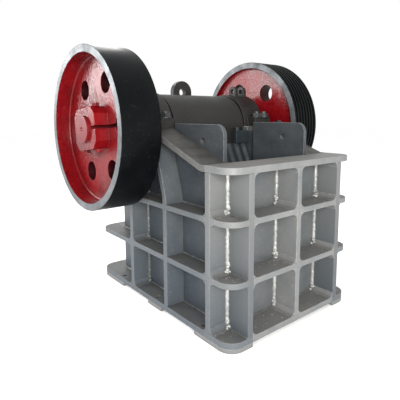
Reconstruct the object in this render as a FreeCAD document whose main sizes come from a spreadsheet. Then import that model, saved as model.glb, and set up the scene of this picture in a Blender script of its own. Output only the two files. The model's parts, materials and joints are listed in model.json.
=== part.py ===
"""Single-toggle jaw crusher: welded plate frame, fixed and moving jaws, eccentric shaft, two wheels.

X runs along the shaft, -Y faces the fixed jaw's wall, +Z is up. The origin lies on the floor in
the middle of the six foundation bolts. All sizes are in millimetres.
"""
import FreeCAD, Part
import math
import os
import re
import Sketcher

ROWS = [
    # frame
    ("frame_half", 316, "outer face of a side plate from the middle"),
    ("wall", 30, "thickness of the side, front and rear walls"),
    ("flange_reach", 100, "flanges and shelves stand out from a side plate by this"),
    ("front_lip", 125, "flanges and shelves stand out from the front wall by this"),
    ("rear_lip", 109, "flanges and shelves stand out from the rear wall by this"),
    ("front_wall_y", -430, "front face of the front wall"),
    ("rear_wall_y", 478, "rear face of the rear wall"),
    ("corner_round", 70, "rounding of the flange corners"),
    ("foot_rise", 19, "height of the foot pads"),
    ("base_thick", 27, "thickness of the base flange"),
    ("shelf_thick", 25, "thickness of the two shelves"),
    ("shelf_low", 270, "underside of the lower shelf"),
    ("shelf_high", 520, "underside of the upper shelf"),
    ("top_level", 756, "top of the front top flange"),
    ("top_thick", 28, "thickness of the top flange"),
    ("slope_setback", 30, "the side top flange starts to rise this far behind the front wall"),
    ("seat_half", 240, "bearing seats and cap feet before and behind the shaft"),
    ("seat_tail", 22, "side top flange behind the rear wall"),
    ("rib_thick", 28, "thickness of the stiffening ribs"),
    ("mid_rib_y", -117, "front face of the middle side rib"),
    ("mid_rib_lean", 17, "front face of the middle side rib's head before the bearing seat"),
    ("mid_rib_knee", 575, "height at which the middle side rib starts to lean"),
    ("mid_rib_bend", 200, "bending radius of the middle side rib"),
    ("rear_rib_lead", 32, "front face of the rear side rib before the shaft"),
    ("rear_rib_x", 160, "middle of each rear wall rib"),
    # foundation bolts
    ("bolt_margin", 28, "foundation bolts from the flange's edge"),
    ("bolt_y", 355, "outer foundation bolts before and behind the middle pair"),
    ("bolt_hole", 13, "radius of a foundation bolt hole"),
    ("pad_short", 60, "half length of the middle foot pad"),
    ("pad_margin", 32, "outer foot pads reach past their bolts towards the middle by this"),
    # shaft and bearings
    ("shaft_y", 232, "shaft axis"),
    ("shaft_z", 891, "shaft axis above the floor"),
    ("throw", 10, "eccentricity of the shaft, pointing down at rest"),
    ("shaft_end", 65, "radius of the shaft in the wheels"),
    ("journal", 70, "radius of the shaft in its bearings"),
    ("eccentric", 85, "radius of the eccentric part"),
    ("shaft_proud", 6, "shaft ends beyond the outer rim faces"),
    ("shoulder", 20, "journals run past the bearing housings by this"),
    ("run_gap", 0.05, "radial clearance of a running fit"),
    ("housing", 187, "outer radius of a bearing housing"),
    ("housing_lip", 30, "bearing housings stand inside the side plates by this"),
    ("housing_long", 154, "length of a bearing housing"),
    ("cap_foot", 51, "thickness of the bearing cap's foot"),
    ("lug_margin", 49, "first lifting lug from the housing's inner end"),
    ("lug_step", 70, "second lug from the first"),
    ("lug_thick", 20, "thickness of a lug"),
    ("lug_root", 30, "a lug starts this far below the housing's top"),
    ("lug_lead", 37, "middle of the lifting lugs before the shaft"),
    ("lug_half", 30, "half width of a lifting lug"),
    ("lug_round", 29.7, "rounding of a lug's head"),
    ("lug_rise", 20, "centre of the lug's round head above the housing"),
    ("lug_hole", 13, "radius of the lug's hole"),
    ("stud_margin_in", 36, "inner cap studs from the side plate's inner face"),
    ("stud_margin_out", 32, "outer cap studs from the flange's edge"),
    ("stud_in", 22, "cap studs from the ends of the foot"),
    ("stud_radius", 15, "radius of a cap stud"),
    ("nut_radius", 28, "corner radius of a cap nut"),
    ("nut_thick", 24, "thickness of a cap nut"),
    ("stud_proud", 10, "stud end above its nut"),
    # wheels
    ("wheel_radius", 397, "outer radius of both wheels"),
    ("rim_bore", 360, "inner radius of the wheel rims"),
    ("wheel_gap", 46, "inner rim face from the flange's edge"),
    ("wheel_width", 194, "width of a rim"),
    ("web_recess", 30, "wheel web behind the inner rim face"),
    ("web_plate", 84, "thickness of a wheel web"),
    ("boss_root", 125, "radius of the inner hub boss at the web"),
    ("boss_tip", 98, "radius of the inner hub boss at its end"),
    ("boss_recess", 6, "end of the inner hub boss behind the inner rim face"),
    ("hub_half_y", 116, "half width of the clamp hub"),
    ("hub_half_z", 101, "half height of the clamp hub"),
    ("hub_chamfer", 36, "corner cut of the clamp hub"),
    ("hub_recess", 10, "clamp hub behind the outer rim face"),
    ("hub_slot", 16, "width of the hub's clamping slot"),
    ("web_hole", 50, "radius of the holes in the web"),
    ("web_circle", 240, "radius of the circle the holes lie on"),
    ("web_hole_count", 6, "holes in a web"),
    ("flywheel_turn", -6.5, "turn of the flywheel on the shaft at rest, in degrees"),
    ("pulley_turn", 4.3, "turn of the belt pulley on the shaft at rest, in degrees"),
    ("clamp_bolt_out", 36, "clamp bolts beyond the web"),
    ("clamp_bolt_y", 72, "clamp bolts from the shaft axis"),
    ("clamp_nut", 19, "corner radius of a clamp bolt's head and nut"),
    ("clamp_head", 16, "height of a clamp bolt's head and nut"),
    ("groove_count", 7, "belt grooves"),
    ("groove_margin", 19, "middle of the first belt groove from the inner rim face"),
    ("groove_pitch", 26, "distance between belt grooves"),
    ("groove_mouth", 9, "half width of a groove at the rim"),
    ("groove_floor", 4, "half width of a groove at its floor"),
    ("groove_depth", 16, "depth of a groove"),
    # jaws
    ("jaw_top", 740, "top of the fixed jaw plate"),
    ("jaw_bottom", 100, "bottom of the fixed jaw plate"),
    ("jaw_thick", 55, "thickness of the fixed jaw plate"),
    ("jaw_side_gap", 2, "fixed jaw plate to cheek plate"),
    ("cheek_thick", 20, "thickness of a cheek plate"),
    ("cheek_rise", 24, "top of the cheek plates above the shaft axis"),
    ("cheek_setback", 30, "front edge of the cheek plates behind the front wall"),
    ("cheek_gap", 4, "rear edge of the cheek plates before the bearing caps"),
    ("cheek_waist", 215, "height below its top at which a cheek plate narrows"),
    ("cheek_toe", 100, "a cheek plate's bottom edge ends behind the moving jaw's foot by this"),
    ("cheek_round", 50, "rounding of the cheek plate's top corner"),
    ("cheek_hole_back", 140, "hole in a cheek plate from its front edge"),
    ("cheek_hole_down", 75, "hole in a cheek plate below its top"),
    ("cheek_hole", 14, "radius of the hole in a cheek plate"),
    ("die_gap", 16, "moving jaw plate to cheek plate"),
    ("discharge", 45, "discharge gap at rest between the jaw plates, along Y"),
    ("die_foot_z", 120, "bottom of the moving jaw plate"),
    ("die_lead", 217, "top front edge of the moving jaw plate before the shaft"),
    ("die_drop", 94, "top of the moving jaw plate below the shaft axis"),
    ("die_depth", 46, "moving jaw plate measured along Y"),
    # pitman
    ("barrel", 188, "radius of the pitman's barrel"),
    ("barrel_gap", 12, "barrel to bearing housing"),
    ("body_inset", 9, "pitman's body narrower than its barrel, each side"),
    ("body_depth", 60, "pitman's front plate measured along Y"),
    ("web_thick", 34, "thickness of a pitman rib"),
    ("toe_depth", 84, "pitman's toe behind its front plate"),
    ("toe_top", 240, "top of the pitman's toe"),
    ("heel_back", 68, "rear end of the pitman's ribs behind the shaft"),
    ("heel_drop", 176, "rear end of the pitman's ribs below the shaft axis"),
    ("clamp_depth", 40, "clamp blocks before the barrel"),
    ("clamp_high", 71, "height of the clamp blocks"),
    ("ledge_cover", 10, "ledge over the top of the pitman's front plate"),
    ("clamp_wide", 100, "width of a clamp block"),
    ("eye_half", 66, "half width of the lifting eye"),
    ("eye_round", 65.34, "rounding of the lifting eye's head"),
    ("eye_back", 91, "middle plane of the lifting eye behind the shaft"),
    ("eye_thick", 32, "thickness of the lifting eye"),
    ("eye_rise", 20, "centre of the lifting eye's round head above the barrel"),
    ("eye_hole", 22, "radius of the lifting eye's hole"),
    # toggle and tension rod
    ("toggle_half", 180, "half width of the toggle plate"),
    ("toggle_thick", 30, "thickness of the toggle plate"),
    ("toggle_gap", 18, "toggle plate behind the pitman's toe"),
    ("toggle_front_z", 175, "underside of the toggle plate's front edge"),
    ("toggle_rear_z", 285, "underside of the toggle plate's rear edge"),
    ("toggle_seat_depth", 60, "toggle seat before the rear wall"),
    ("toggle_seat_low", 240, "underside of the toggle seat"),
    ("toggle_seat_high", 360, "top of the toggle seat"),
    ("rod_z", 140, "tension rod above the floor"),
    ("rod_radius", 16, "radius of the tension rod"),
    ("rod_play", 2, "radial clearance of the rod in the rear wall"),
    ("rod_gap", 25, "tension rod behind the pitman's toe"),
    ("rod_tail", 134, "tension rod behind the rear wall"),
    ("spring_bore", 22, "inner radius of the tension spring"),
    ("spring_outer", 40, "outer radius of the tension spring"),
    ("spring_long", 84, "length of the tension spring"),
    ("washer_radius", 44, "radius of the spring's washer"),
    ("washer_thick", 8, "thickness of the spring's washer"),
    # making
    ("overrun", 1, "cutting shapes run past what they cut by this"),
    ("overlap", 2, "parts of one casting run into each other by this"),
]

doc = FreeCAD.newDocument("JawCrusher")
sheet = doc.addObject("Spreadsheet::Sheet", "Dims")
for number, (alias, size, meaning) in enumerate(ROWS, start=1):
    sheet.set(f"A{number}", meaning)
    sheet.set(f"B{number}", str(size))
    sheet.setAlias(f"B{number}", alias)
doc.recompute()
ALIASES = {alias for alias, _, _ in ROWS}


def formula(text):
    """Turn a formula written with the sheet's aliases into a document expression."""
    return re.sub(r"[a-z_]+", lambda word: f"Dims.{word[0]}" if word[0] in ALIASES else word[0], text)


def bind(item, **sizes):
    """Bind properties of one document object to formulas."""
    for name, text in sizes.items():
        item.setExpression(name, formula(text))


def place(item, x="0", y="0", z="0"):
    """Bind the position of one document object to formulas."""
    for axis, text in zip("xyz", (x, y, z)):
        item.setExpression(f"Placement.Base.{axis}", formula(text))


def block(label, x, y, z):
    """Box between two formulas along each axis."""
    box = doc.addObject("Part::Box", label)
    bind(box, Length=f"{x[1]} - ({x[0]})", Width=f"{y[1]} - ({y[0]})", Height=f"{z[1]} - ({z[0]})")
    place(box, x[0], y[0], z[0])
    return box


def rod(label, radius, span, at, axis):
    """Cylinder along X, Y or Z between two formulas; `at` holds its other two coordinates."""
    turns = {
        "x": FreeCAD.Rotation(FreeCAD.Vector(0, 1, 0), 90),
        "y": FreeCAD.Rotation(FreeCAD.Vector(1, 0, 0), -90),
        "z": FreeCAD.Rotation(),
    }
    bar = doc.addObject("Part::Cylinder", label)
    bar.Placement = FreeCAD.Placement(FreeCAD.Vector(), turns[axis])
    bind(bar, Radius=radius, Height=f"{span[1]} - ({span[0]})")
    spots = list(at)
    spots.insert("xyz".index(axis), span[0])
    place(bar, *spots)
    return bar


def nut(label, radius, height, x, y, z):
    """Hexagonal prism standing on height z."""
    prism = doc.addObject("Part::Prism", label)
    prism.Polygon = 6
    bind(prism, Circumradius=radius, Height=height)
    place(prism, x, y, z)
    return prism


def cut(label, base, tool):
    """Base minus tool."""
    result = doc.addObject("Part::Cut", label)
    result.Base = base
    result.Tool = tool
    result.Refine = True
    return result


def fuse(label, pieces):
    """Pieces joined into one solid."""
    result = doc.addObject("Part::MultiFuse", label)
    result.Shapes = pieces
    result.Refine = True
    return result


def together(label, pieces):
    """Separate like pieces that share one node."""
    result = doc.addObject("Part::Compound", label)
    result.Links = pieces
    return result


def mirrored(side, inner, outer):
    """Span between two distances from the middle, on the left (-1) or the right (+1)."""
    return (f"-({outer})", f"-({inner})") if side < 0 else (inner, outer)


def sketch_on(body, plane, offset, name):
    """Empty sketch on one of the body's origin planes, moved along the plane's normal."""
    sketch = body.newObject("Sketcher::SketchObject", name)
    base = next(item for item in body.Origin.OriginFeatures if item.Role == plane)
    sketch.AttachmentSupport = [(base, "")]
    sketch.MapMode = "FlatFace"
    sketch.setExpression("AttachmentOffset.Base.z", formula(offset))
    return sketch


def pin(sketch, edge, point, u, v):
    """Hold one point of a sketch at two formulas."""
    for kind, text in (("DistanceX", u), ("DistanceY", v)):
        index = sketch.addConstraint(Sketcher.Constraint(kind, -1, 1, edge, point, 1.0))
        sketch.setExpression(f"Constraints[{index}]", formula(text))


def draw_outline(sketch, points):
    """Closed outline through points given as formula pairs."""
    count = len(points)
    turn = 2 * math.pi / count
    spots = [FreeCAD.Vector(100 * math.cos(turn * k), 100 * math.sin(turn * k)) for k in range(count)]
    first = sketch.GeometryCount
    for k in range(count):
        sketch.addGeometry(Part.LineSegment(spots[k], spots[(k + 1) % count]), False)
    for k, (u, v) in enumerate(points):
        following = first + (k + 1) % count
        sketch.addConstraint(Sketcher.Constraint("Coincident", first + k, 2, following, 1))
        pin(sketch, first + k, 1, u, v)


def draw_circle(sketch, u, v, radius):
    """Circle with its centre and radius held by formulas."""
    circle = Part.Circle(FreeCAD.Vector(1, 1, 0), FreeCAD.Vector(0, 0, 1), 10)
    edge = sketch.addGeometry(circle, False)
    pin(sketch, edge, 3, u, v)
    index = sketch.addConstraint(Sketcher.Constraint("Radius", edge, 10.0))
    sketch.setExpression(f"Constraints[{index}]", formula(radius))


def pocket(body, plane, offset, name, draw):
    """Cut what `draw` puts in a sketch through the whole body, and check that it cuts."""
    doc.recompute()
    before = body.Shape.Volume
    sketch = sketch_on(body, plane, offset, f"{name}Sketch")
    draw(sketch)
    feature = body.newObject("PartDesign::Pocket", name)
    feature.Profile = sketch
    feature.Type = "ThroughAll"
    feature.Reversed = True
    doc.recompute()
    if not before - body.Shape.Volume > 1:
        raise RuntimeError(f"{body.Label}: {name} cuts nothing")
    return feature


def round_edges(body, feature, spots, radius, name):
    """Round the edges of a pad that stand on the given outline points."""
    doc.recompute()
    shape = feature.Shape
    names = []
    for number, edge in enumerate(shape.Edges, start=1):
        ends = [vertex.Point for vertex in edge.Vertexes]
        for spot in spots:
            if len(ends) == 2 and all(spot(end) for end in ends):
                names.append(f"Edge{number}")
    fillet = body.newObject("PartDesign::Fillet", name)
    fillet.Base = (feature, names)
    bind(fillet, Radius=radius)
    return fillet


PLANE_AXES = {"XY_Plane": (0, 1), "YZ_Plane": (1, 2), "XZ_Plane": (0, 2)}


def panel(label, plane, span, points, rounds=(), holes=()):
    """Plate with an outline in one plane and its thickness along that plane's normal.

    rounds lists (point number, radius); holes lists (u, v, radius), cut right through.
    """
    offset = f"-({span[1]})" if plane == "XZ_Plane" else span[0]
    body = doc.addObject("PartDesign::Body", label)
    outline = sketch_on(body, plane, offset, f"{label}_outline")
    draw_outline(outline, points)
    pad = body.newObject("PartDesign::Pad", f"{label}_pad")
    pad.Profile = outline
    bind(pad, Length=f"{span[1]} - ({span[0]})")
    doc.recompute()
    across, along = PLANE_AXES[plane]
    tip = pad
    for order, (corner, radius) in enumerate(rounds):
        start = outline.Geometry[corner].StartPoint

        def stands_on(end, start=start):
            return abs(end[across] - start.x) < 0.01 and abs(end[along] - start.y) < 0.01

        tip = round_edges(body, tip, [stands_on], radius, f"{label}_round_{order}")
        doc.recompute()
    for order, (u, v, radius) in enumerate(holes):
        def circle(sketch, u=u, v=v, radius=radius):
            draw_circle(sketch, u, v, radius)

        pocket(body, plane, offset, f"{label}_hole_{order}", circle)
    return body


# Formulas that several pieces share.
FLANGE_X = "(frame_half + flange_reach)"
INNER_X = "(frame_half - wall)"
FRONT_Y = "(front_wall_y - front_lip)"
WALL_BACK_Y = "(front_wall_y + wall)"
REAR_INNER_Y = "(rear_wall_y - wall)"
REAR_Y = "(rear_wall_y + rear_lip)"
FLOOR_Z = "(foot_rise + base_thick)"
TOP_Z = "(top_level - top_thick)"
SEAT_Z = "(shaft_z - top_thick)"
SLOPE_Y = "(front_wall_y + wall + slope_setback)"
SEAT_FRONT_Y = "(shaft_y - seat_half)"
SEAT_BACK_Y = "(shaft_y + seat_half)"
SEAT_END_Y = "(rear_wall_y + seat_tail)"
RIB_HEAD_Y = "(shaft_y - seat_half - mid_rib_lean)"
REAR_RIB_Y = "(shaft_y - rear_rib_lead)"
BOLT_X = "(frame_half + flange_reach - bolt_margin)"
PAD_END_Y = "(bolt_y - pad_margin)"
HOUSING_IN = "(frame_half - wall - housing_lip)"
HOUSING_OUT = f"({HOUSING_IN} + housing_long)"
LUG_X = f"({HOUSING_IN} + lug_margin)"
LUG_Y = "(shaft_y - lug_lead)"
LUG_Z = "(shaft_z + housing + lug_rise)"
WHEEL_IN = "(frame_half + flange_reach + wheel_gap)"
WHEEL_OUT = f"({WHEEL_IN} + wheel_width)"
WEB_IN = f"({WHEEL_IN} + web_recess)"
WEB_OUT = f"({WEB_IN} + web_plate)"
BOSS_END = f"({WHEEL_IN} + boss_recess)"
HUB_END = f"({WHEEL_OUT} - hub_recess)"
SHAFT_HALF = f"({WHEEL_OUT} + shaft_proud)"
CLAMP_BOLT_X = f"({WEB_OUT} + clamp_bolt_out)"
GROOVE_X = f"({WHEEL_IN} + groove_margin)"
CHEEK_TOP = "(shaft_z + cheek_rise)"
CHEEK_FRONT_Y = "(front_wall_y + wall + cheek_setback)"
CHEEK_BACK_Y = f"({SEAT_FRONT_Y} - cheek_gap)"
CHEEK_WAIST_Z = f"({CHEEK_TOP} - cheek_waist)"
CHEEK_HOLE_Y = f"({CHEEK_FRONT_Y} + cheek_hole_back)"
CHEEK_HOLE_Z = f"({CHEEK_TOP} - cheek_hole_down)"
DIE_HALF = "(frame_half - wall - cheek_thick - die_gap)"
DIE_FOOT_Y = "(front_wall_y + wall + jaw_thick + discharge)"
CHEEK_TOE_Y = f"({DIE_FOOT_Y} + cheek_toe)"
DIE_HEAD_Y = "(shaft_y - die_lead)"
DIE_HEAD_Z = "(shaft_z - die_drop)"
BARREL_HALF = f"({HOUSING_IN} - barrel_gap)"
BODY_HALF = f"({BARREL_HALF} - body_inset)"
TOE_Y = f"({DIE_FOOT_Y} + die_depth + body_depth + toe_depth)"
HEEL_Y = "(shaft_y + heel_back)"
HEEL_Z = "(shaft_z - heel_drop)"
LEDGE_Y = "(shaft_y - barrel)"
CLAMP_FRONT_Y = f"({LEDGE_Y} - clamp_depth)"
CLAMP_TOP = f"({DIE_HEAD_Z} + clamp_high)"
CLAMP_INNER = f"({DIE_HALF} - clamp_wide)"
EYE_Y = "(shaft_y + eye_back)"
EYE_Z = "(shaft_z - throw + barrel + eye_rise)"
TOGGLE_FRONT_Y = f"({TOE_Y} + toggle_gap)"
ROD_FRONT_Y = f"({TOE_Y} + rod_gap)"
ROD_END_Y = "(rear_wall_y + rod_tail)"
SIDES = (("left", -1), ("right", 1))
LEVELS = (("low", "shelf_low"), ("high", "shelf_high"))
TURNS = {-1: "flywheel_turn", 1: "pulley_turn"}


def make_walls():
    """Side plates that carry the bearings, and the front and rear walls between them."""
    for name, side in SIDES:
        outline = [
            (FRONT_Y, FLOOR_Z),
            (FRONT_Y, TOP_Z),
            (SLOPE_Y, TOP_Z),
            (SEAT_FRONT_Y, SEAT_Z),
            ("rear_wall_y", SEAT_Z),
            ("rear_wall_y", FLOOR_Z),
        ]
        recess = [("shaft_y", "shaft_z", "housing")]
        panel(f"side_plate_{name}", "YZ_Plane", mirrored(side, INNER_X, "frame_half"), outline, (), recess)
    across = (f"-({INNER_X})", INNER_X)
    block("front_wall", across, ("front_wall_y", WALL_BACK_Y), (FLOOR_Z, TOP_Z))
    rear = block("rear_wall_plate", across, (REAR_INNER_Y, "rear_wall_y"), (FLOOR_Z, "top_level"))
    wall_span = (REAR_INNER_Y, "rear_wall_y")
    rod_hole = rod("rear_wall_hole", "rod_radius + rod_play", wall_span, ("0", "rod_z"), "y")
    cut("rear_wall", rear, rod_hole)


def flange_strip(label, side, y, z, rounds, holes=()):
    """Level plate along a side plate, with the chosen outer corners rounded."""
    x = mirrored(side, INNER_X, FLANGE_X)
    outer, inner = (x[0], x[1]) if side < 0 else (x[1], x[0])
    outline = [(outer, y[0]), (inner, y[0]), (inner, y[1]), (outer, y[1])]
    corners = {"front": (0, "corner_round"), "rear": (3, "corner_round")}
    return panel(label, "XY_Plane", z, outline, [corners[end] for end in rounds], holes)


def make_base():
    """Base flange in four pieces, and the pads it stands on, with the foundation bolt holes."""
    thick = ("foot_rise", FLOOR_Z)
    pads = []
    for name, side in SIDES:
        holes = [(f"{side} * {BOLT_X}", f"{row} * bolt_y", "bolt_hole") for row in (-1, 0, 1)]
        flange_strip(f"base_flange_{name}", side, (FRONT_Y, REAR_Y), thick, ("front", "rear"), holes)
        pad_spans = (
            ("front", (FRONT_Y, f"-{PAD_END_Y}"), ("front",)),
            ("middle", ("-pad_short", "pad_short"), ()),
            ("rear", (PAD_END_Y, REAR_Y), ("rear",)),
        )
        for hole, (end, y, rounds) in zip(holes, pad_spans):
            pads.append(flange_strip(f"pad_{name}_{end}", side, y, ("0", "foot_rise"), rounds, [hole]))
    together("foot_pads", pads)
    across = (f"-({INNER_X})", INNER_X)
    block("base_flange_front", across, (FRONT_Y, WALL_BACK_Y), thick)
    block("base_flange_rear", across, (REAR_INNER_Y, REAR_Y), thick)


def make_top_flange():
    """Level front piece, rising side pieces that end in the bearing seats, and the rear piece."""
    outer = FLANGE_X
    outline = [
        (f"-({outer})", FRONT_Y),
        (outer, FRONT_Y),
        (outer, WALL_BACK_Y),
        (f"-({outer})", WALL_BACK_Y),
    ]
    rounds = [(0, "corner_round"), (1, "corner_round")]
    panel("top_flange_front", "XY_Plane", (TOP_Z, "top_level"), outline, rounds)
    rise = [
        (WALL_BACK_Y, TOP_Z),
        (SLOPE_Y, TOP_Z),
        (SEAT_FRONT_Y, SEAT_Z),
        (SEAT_END_Y, SEAT_Z),
        (SEAT_END_Y, "shaft_z"),
        (SEAT_FRONT_Y, "shaft_z"),
        (SLOPE_Y, "top_level"),
        (WALL_BACK_Y, "top_level"),
    ]
    recess = [("shaft_y", "shaft_z", "housing")]
    for name, side in SIDES:
        panel(f"top_flange_{name}", "YZ_Plane", mirrored(side, INNER_X, FLANGE_X), rise, (), recess)
    block("top_flange_rear", ("-frame_half", "frame_half"), ("rear_wall_y", REAR_Y), (TOP_Z, "top_level"))


def make_ribs():
    """Upright ribs between the flanges: one in front, two behind, three along each side."""
    half = "rib_thick / 2"
    tall = (FLOOR_Z, TOP_Z)
    block("front_rib", (f"-{half}", half), (FRONT_Y, "front_wall_y"), tall)
    behind = []
    for name, side in SIDES:
        middle = f"{side} * rear_rib_x"
        span = (f"{middle} - {half}", f"{middle} + {half}")
        behind.append(block(f"rear_rib_{name}", span, ("rear_wall_y", REAR_Y), tall))
    together("rear_ribs", behind)
    slope = f"(shaft_z - top_level) / ({SEAT_FRONT_Y} - {SLOPE_Y})"
    leaning = [
        ("mid_rib_y", FLOOR_Z),
        ("mid_rib_y", "mid_rib_knee"),
        (RIB_HEAD_Y, f"{SEAT_Z} - ({SEAT_FRONT_Y} - {RIB_HEAD_Y}) * {slope}"),
        (SEAT_FRONT_Y, SEAT_Z),
        (f"{RIB_HEAD_Y} + rib_thick", SEAT_Z),
        ("mid_rib_y + rib_thick", "mid_rib_knee"),
        ("mid_rib_y + rib_thick", FLOOR_Z),
    ]
    for name, side in SIDES:
        out = mirrored(side, "frame_half", FLANGE_X)
        corner = block(f"corner_rib_{name}", out, ("front_wall_y", WALL_BACK_Y), tall)
        bends = [(1, "mid_rib_bend"), (5, "mid_rib_bend")]
        middle = panel(f"middle_rib_{name}", "YZ_Plane", out, leaning, bends)
        rear_span = (REAR_RIB_Y, f"{REAR_RIB_Y} + rib_thick")
        straight = block(f"bearing_rib_{name}", out, rear_span, (FLOOR_Z, SEAT_Z))
        round_seat = rod(f"bearing_rib_seat_{name}", "housing", out, ("shaft_y", "shaft_z"), "x")
        rear = cut(f"rear_side_rib_{name}", straight, round_seat)
        together(f"side_ribs_{name}", [corner, middle, rear])


def make_shelves():
    """Two rows of level shelves round the frame, cut where the ribs stand."""
    half = "rib_thick / 2"
    for name, side in SIDES:
        pieces = []
        for level, low in LEVELS:
            high = (low, f"{low} + shelf_thick")
            out = mirrored(side, "frame_half", FLANGE_X)
            outer, inner = out if side < 0 else (out[1], out[0])
            front = [
                (outer, FRONT_Y),
                (inner, FRONT_Y),
                (inner, "front_wall_y"),
                (outer, "front_wall_y"),
            ]
            rear = [
                (outer, f"{REAR_RIB_Y} + rib_thick"),
                (inner, f"{REAR_RIB_Y} + rib_thick"),
                (inner, REAR_Y),
                (outer, REAR_Y),
            ]
            tag = f"{name}_{level}"
            pieces.append(panel(f"corner_shelf_{tag}", "XY_Plane", high, front, [(0, "corner_round")]))
            pieces.append(block(f"shelf_one_{tag}", out, (WALL_BACK_Y, "mid_rib_y"), high))
            pieces.append(block(f"shelf_two_{tag}", out, ("mid_rib_y + rib_thick", REAR_RIB_Y), high))
            pieces.append(panel(f"rear_shelf_{tag}", "XY_Plane", high, rear, [(3, "corner_round")]))
        together(f"shelves_{name}", pieces)
    front_pieces = []
    rear_pieces = []
    for level, low in LEVELS:
        high = (low, f"{low} + shelf_thick")
        for name, side in SIDES:
            tag = f"{name}_{level}"
            bay = mirrored(side, half, INNER_X)
            front_pieces.append(block(f"front_shelf_{tag}", bay, (FRONT_Y, "front_wall_y"), high))
            wing = mirrored(side, f"rear_rib_x + {half}", "frame_half")
            rear_pieces.append(block(f"rear_wing_{tag}", wing, ("rear_wall_y", REAR_Y), high))
        middle = (f"-(rear_rib_x - {half})", f"rear_rib_x - {half}")
        rear_pieces.append(block(f"rear_middle_{level}", middle, ("rear_wall_y", REAR_Y), high))
    together("shelves_front", front_pieces)
    together("shelves_rear", rear_pieces)


def half_housing(label, side, z):
    """Round bearing housing between two heights."""
    span = mirrored(side, HOUSING_IN, HOUSING_OUT)
    whole = rod(f"{label}_round", "housing", span, ("shaft_y", "shaft_z"), "x")
    keep = block(f"{label}_keep", span, ("shaft_y - housing", "shaft_y + housing"), z)
    result = doc.addObject("Part::Common", f"{label}_half")
    result.Base = whole
    result.Tool = keep
    return result


def make_bearings():
    """Lower housings let into the side plates, caps with lifting lugs, and their studs and nuts."""
    for name, side in SIDES:
        bore_span = mirrored(side, f"{HOUSING_IN} - overrun", f"{FLANGE_X} + overrun")
        low = half_housing(f"seat_{name}", side, ("shaft_z - housing", "shaft_z"))
        bore = rod(f"seat_bore_{name}", "journal + run_gap", bore_span, ("shaft_y", "shaft_z"), "x")
        cut(f"bearing_seat_{name}", low, bore)

        high = half_housing(f"cap_{name}", side, ("shaft_z", "shaft_z + housing"))
        out = mirrored(side, INNER_X, FLANGE_X)
        foot = block(f"cap_foot_{name}", out, (SEAT_FRONT_Y, SEAT_BACK_Y), ("shaft_z", "shaft_z + cap_foot"))
        lugs = []
        for step in (0, 1):
            near = f"{LUG_X} + {step} * lug_step"
            outline = [
                (f"{LUG_Y} - lug_half", "shaft_z + housing - lug_root"),
                (f"{LUG_Y} - lug_half", f"{LUG_Z} + lug_half"),
                (f"{LUG_Y} + lug_half", f"{LUG_Z} + lug_half"),
                (f"{LUG_Y} + lug_half", "shaft_z + housing - lug_root"),
            ]
            rounds = [(1, "lug_round"), (2, "lug_round")]
            hole = [(LUG_Y, LUG_Z, "lug_hole")]
            span = mirrored(side, f"{near} - lug_thick / 2", f"{near} + lug_thick / 2")
            lugs.append(panel(f"lug_{name}_{step}", "YZ_Plane", span, outline, rounds, hole))
        joined = fuse(f"cap_body_{name}", [high, foot] + lugs)
        cap_bore = rod(f"cap_bore_{name}", "journal + run_gap", bore_span, ("shaft_y", "shaft_z"), "x")
        cut(f"bearing_cap_{name}", joined, cap_bore)

        studs = []
        foot_top = "shaft_z + cap_foot"
        ends = (f"{SEAT_FRONT_Y} + stud_in", f"{SEAT_BACK_Y} - stud_in")
        columns = (f"{INNER_X} + stud_margin_in", f"{FLANGE_X} - stud_margin_out")
        for column, away in enumerate(columns):
            x = f"{side} * ({away})"
            for row, y in enumerate(ends):
                tag = f"{name}_{column}_{row}"
                stud_span = (foot_top, f"{foot_top} + nut_thick + stud_proud")
                stud = rod(f"stud_{tag}", "stud_radius", stud_span, (x, y), "z")
                hexagon = nut(f"nut_{tag}", "nut_radius", "nut_thick", x, y, foot_top)
                studs.append(fuse(f"cap_nut_{tag}", [stud, hexagon]))
        together(f"cap_nuts_{name}", studs)


def make_shaft():
    """Eccentric shaft: round ends, two bearing journals and the eccentric middle."""
    centre = ("shaft_y", "shaft_z")
    ends = rod("shaft_through", "shaft_end", (f"-{SHAFT_HALF}", SHAFT_HALF), centre, "x")
    journal_span = (f"-({HOUSING_OUT} + shoulder)", f"{HOUSING_OUT} + shoulder")
    journals = rod("shaft_journals", "journal", journal_span, centre, "x")
    low_centre = ("shaft_y", "shaft_z - throw")
    middle = rod("shaft_eccentric", "eccentric", (f"-{BARREL_HALF}", BARREL_HALF), low_centre, "x")
    fuse("eccentric_shaft", [ends, journals, middle])


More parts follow.
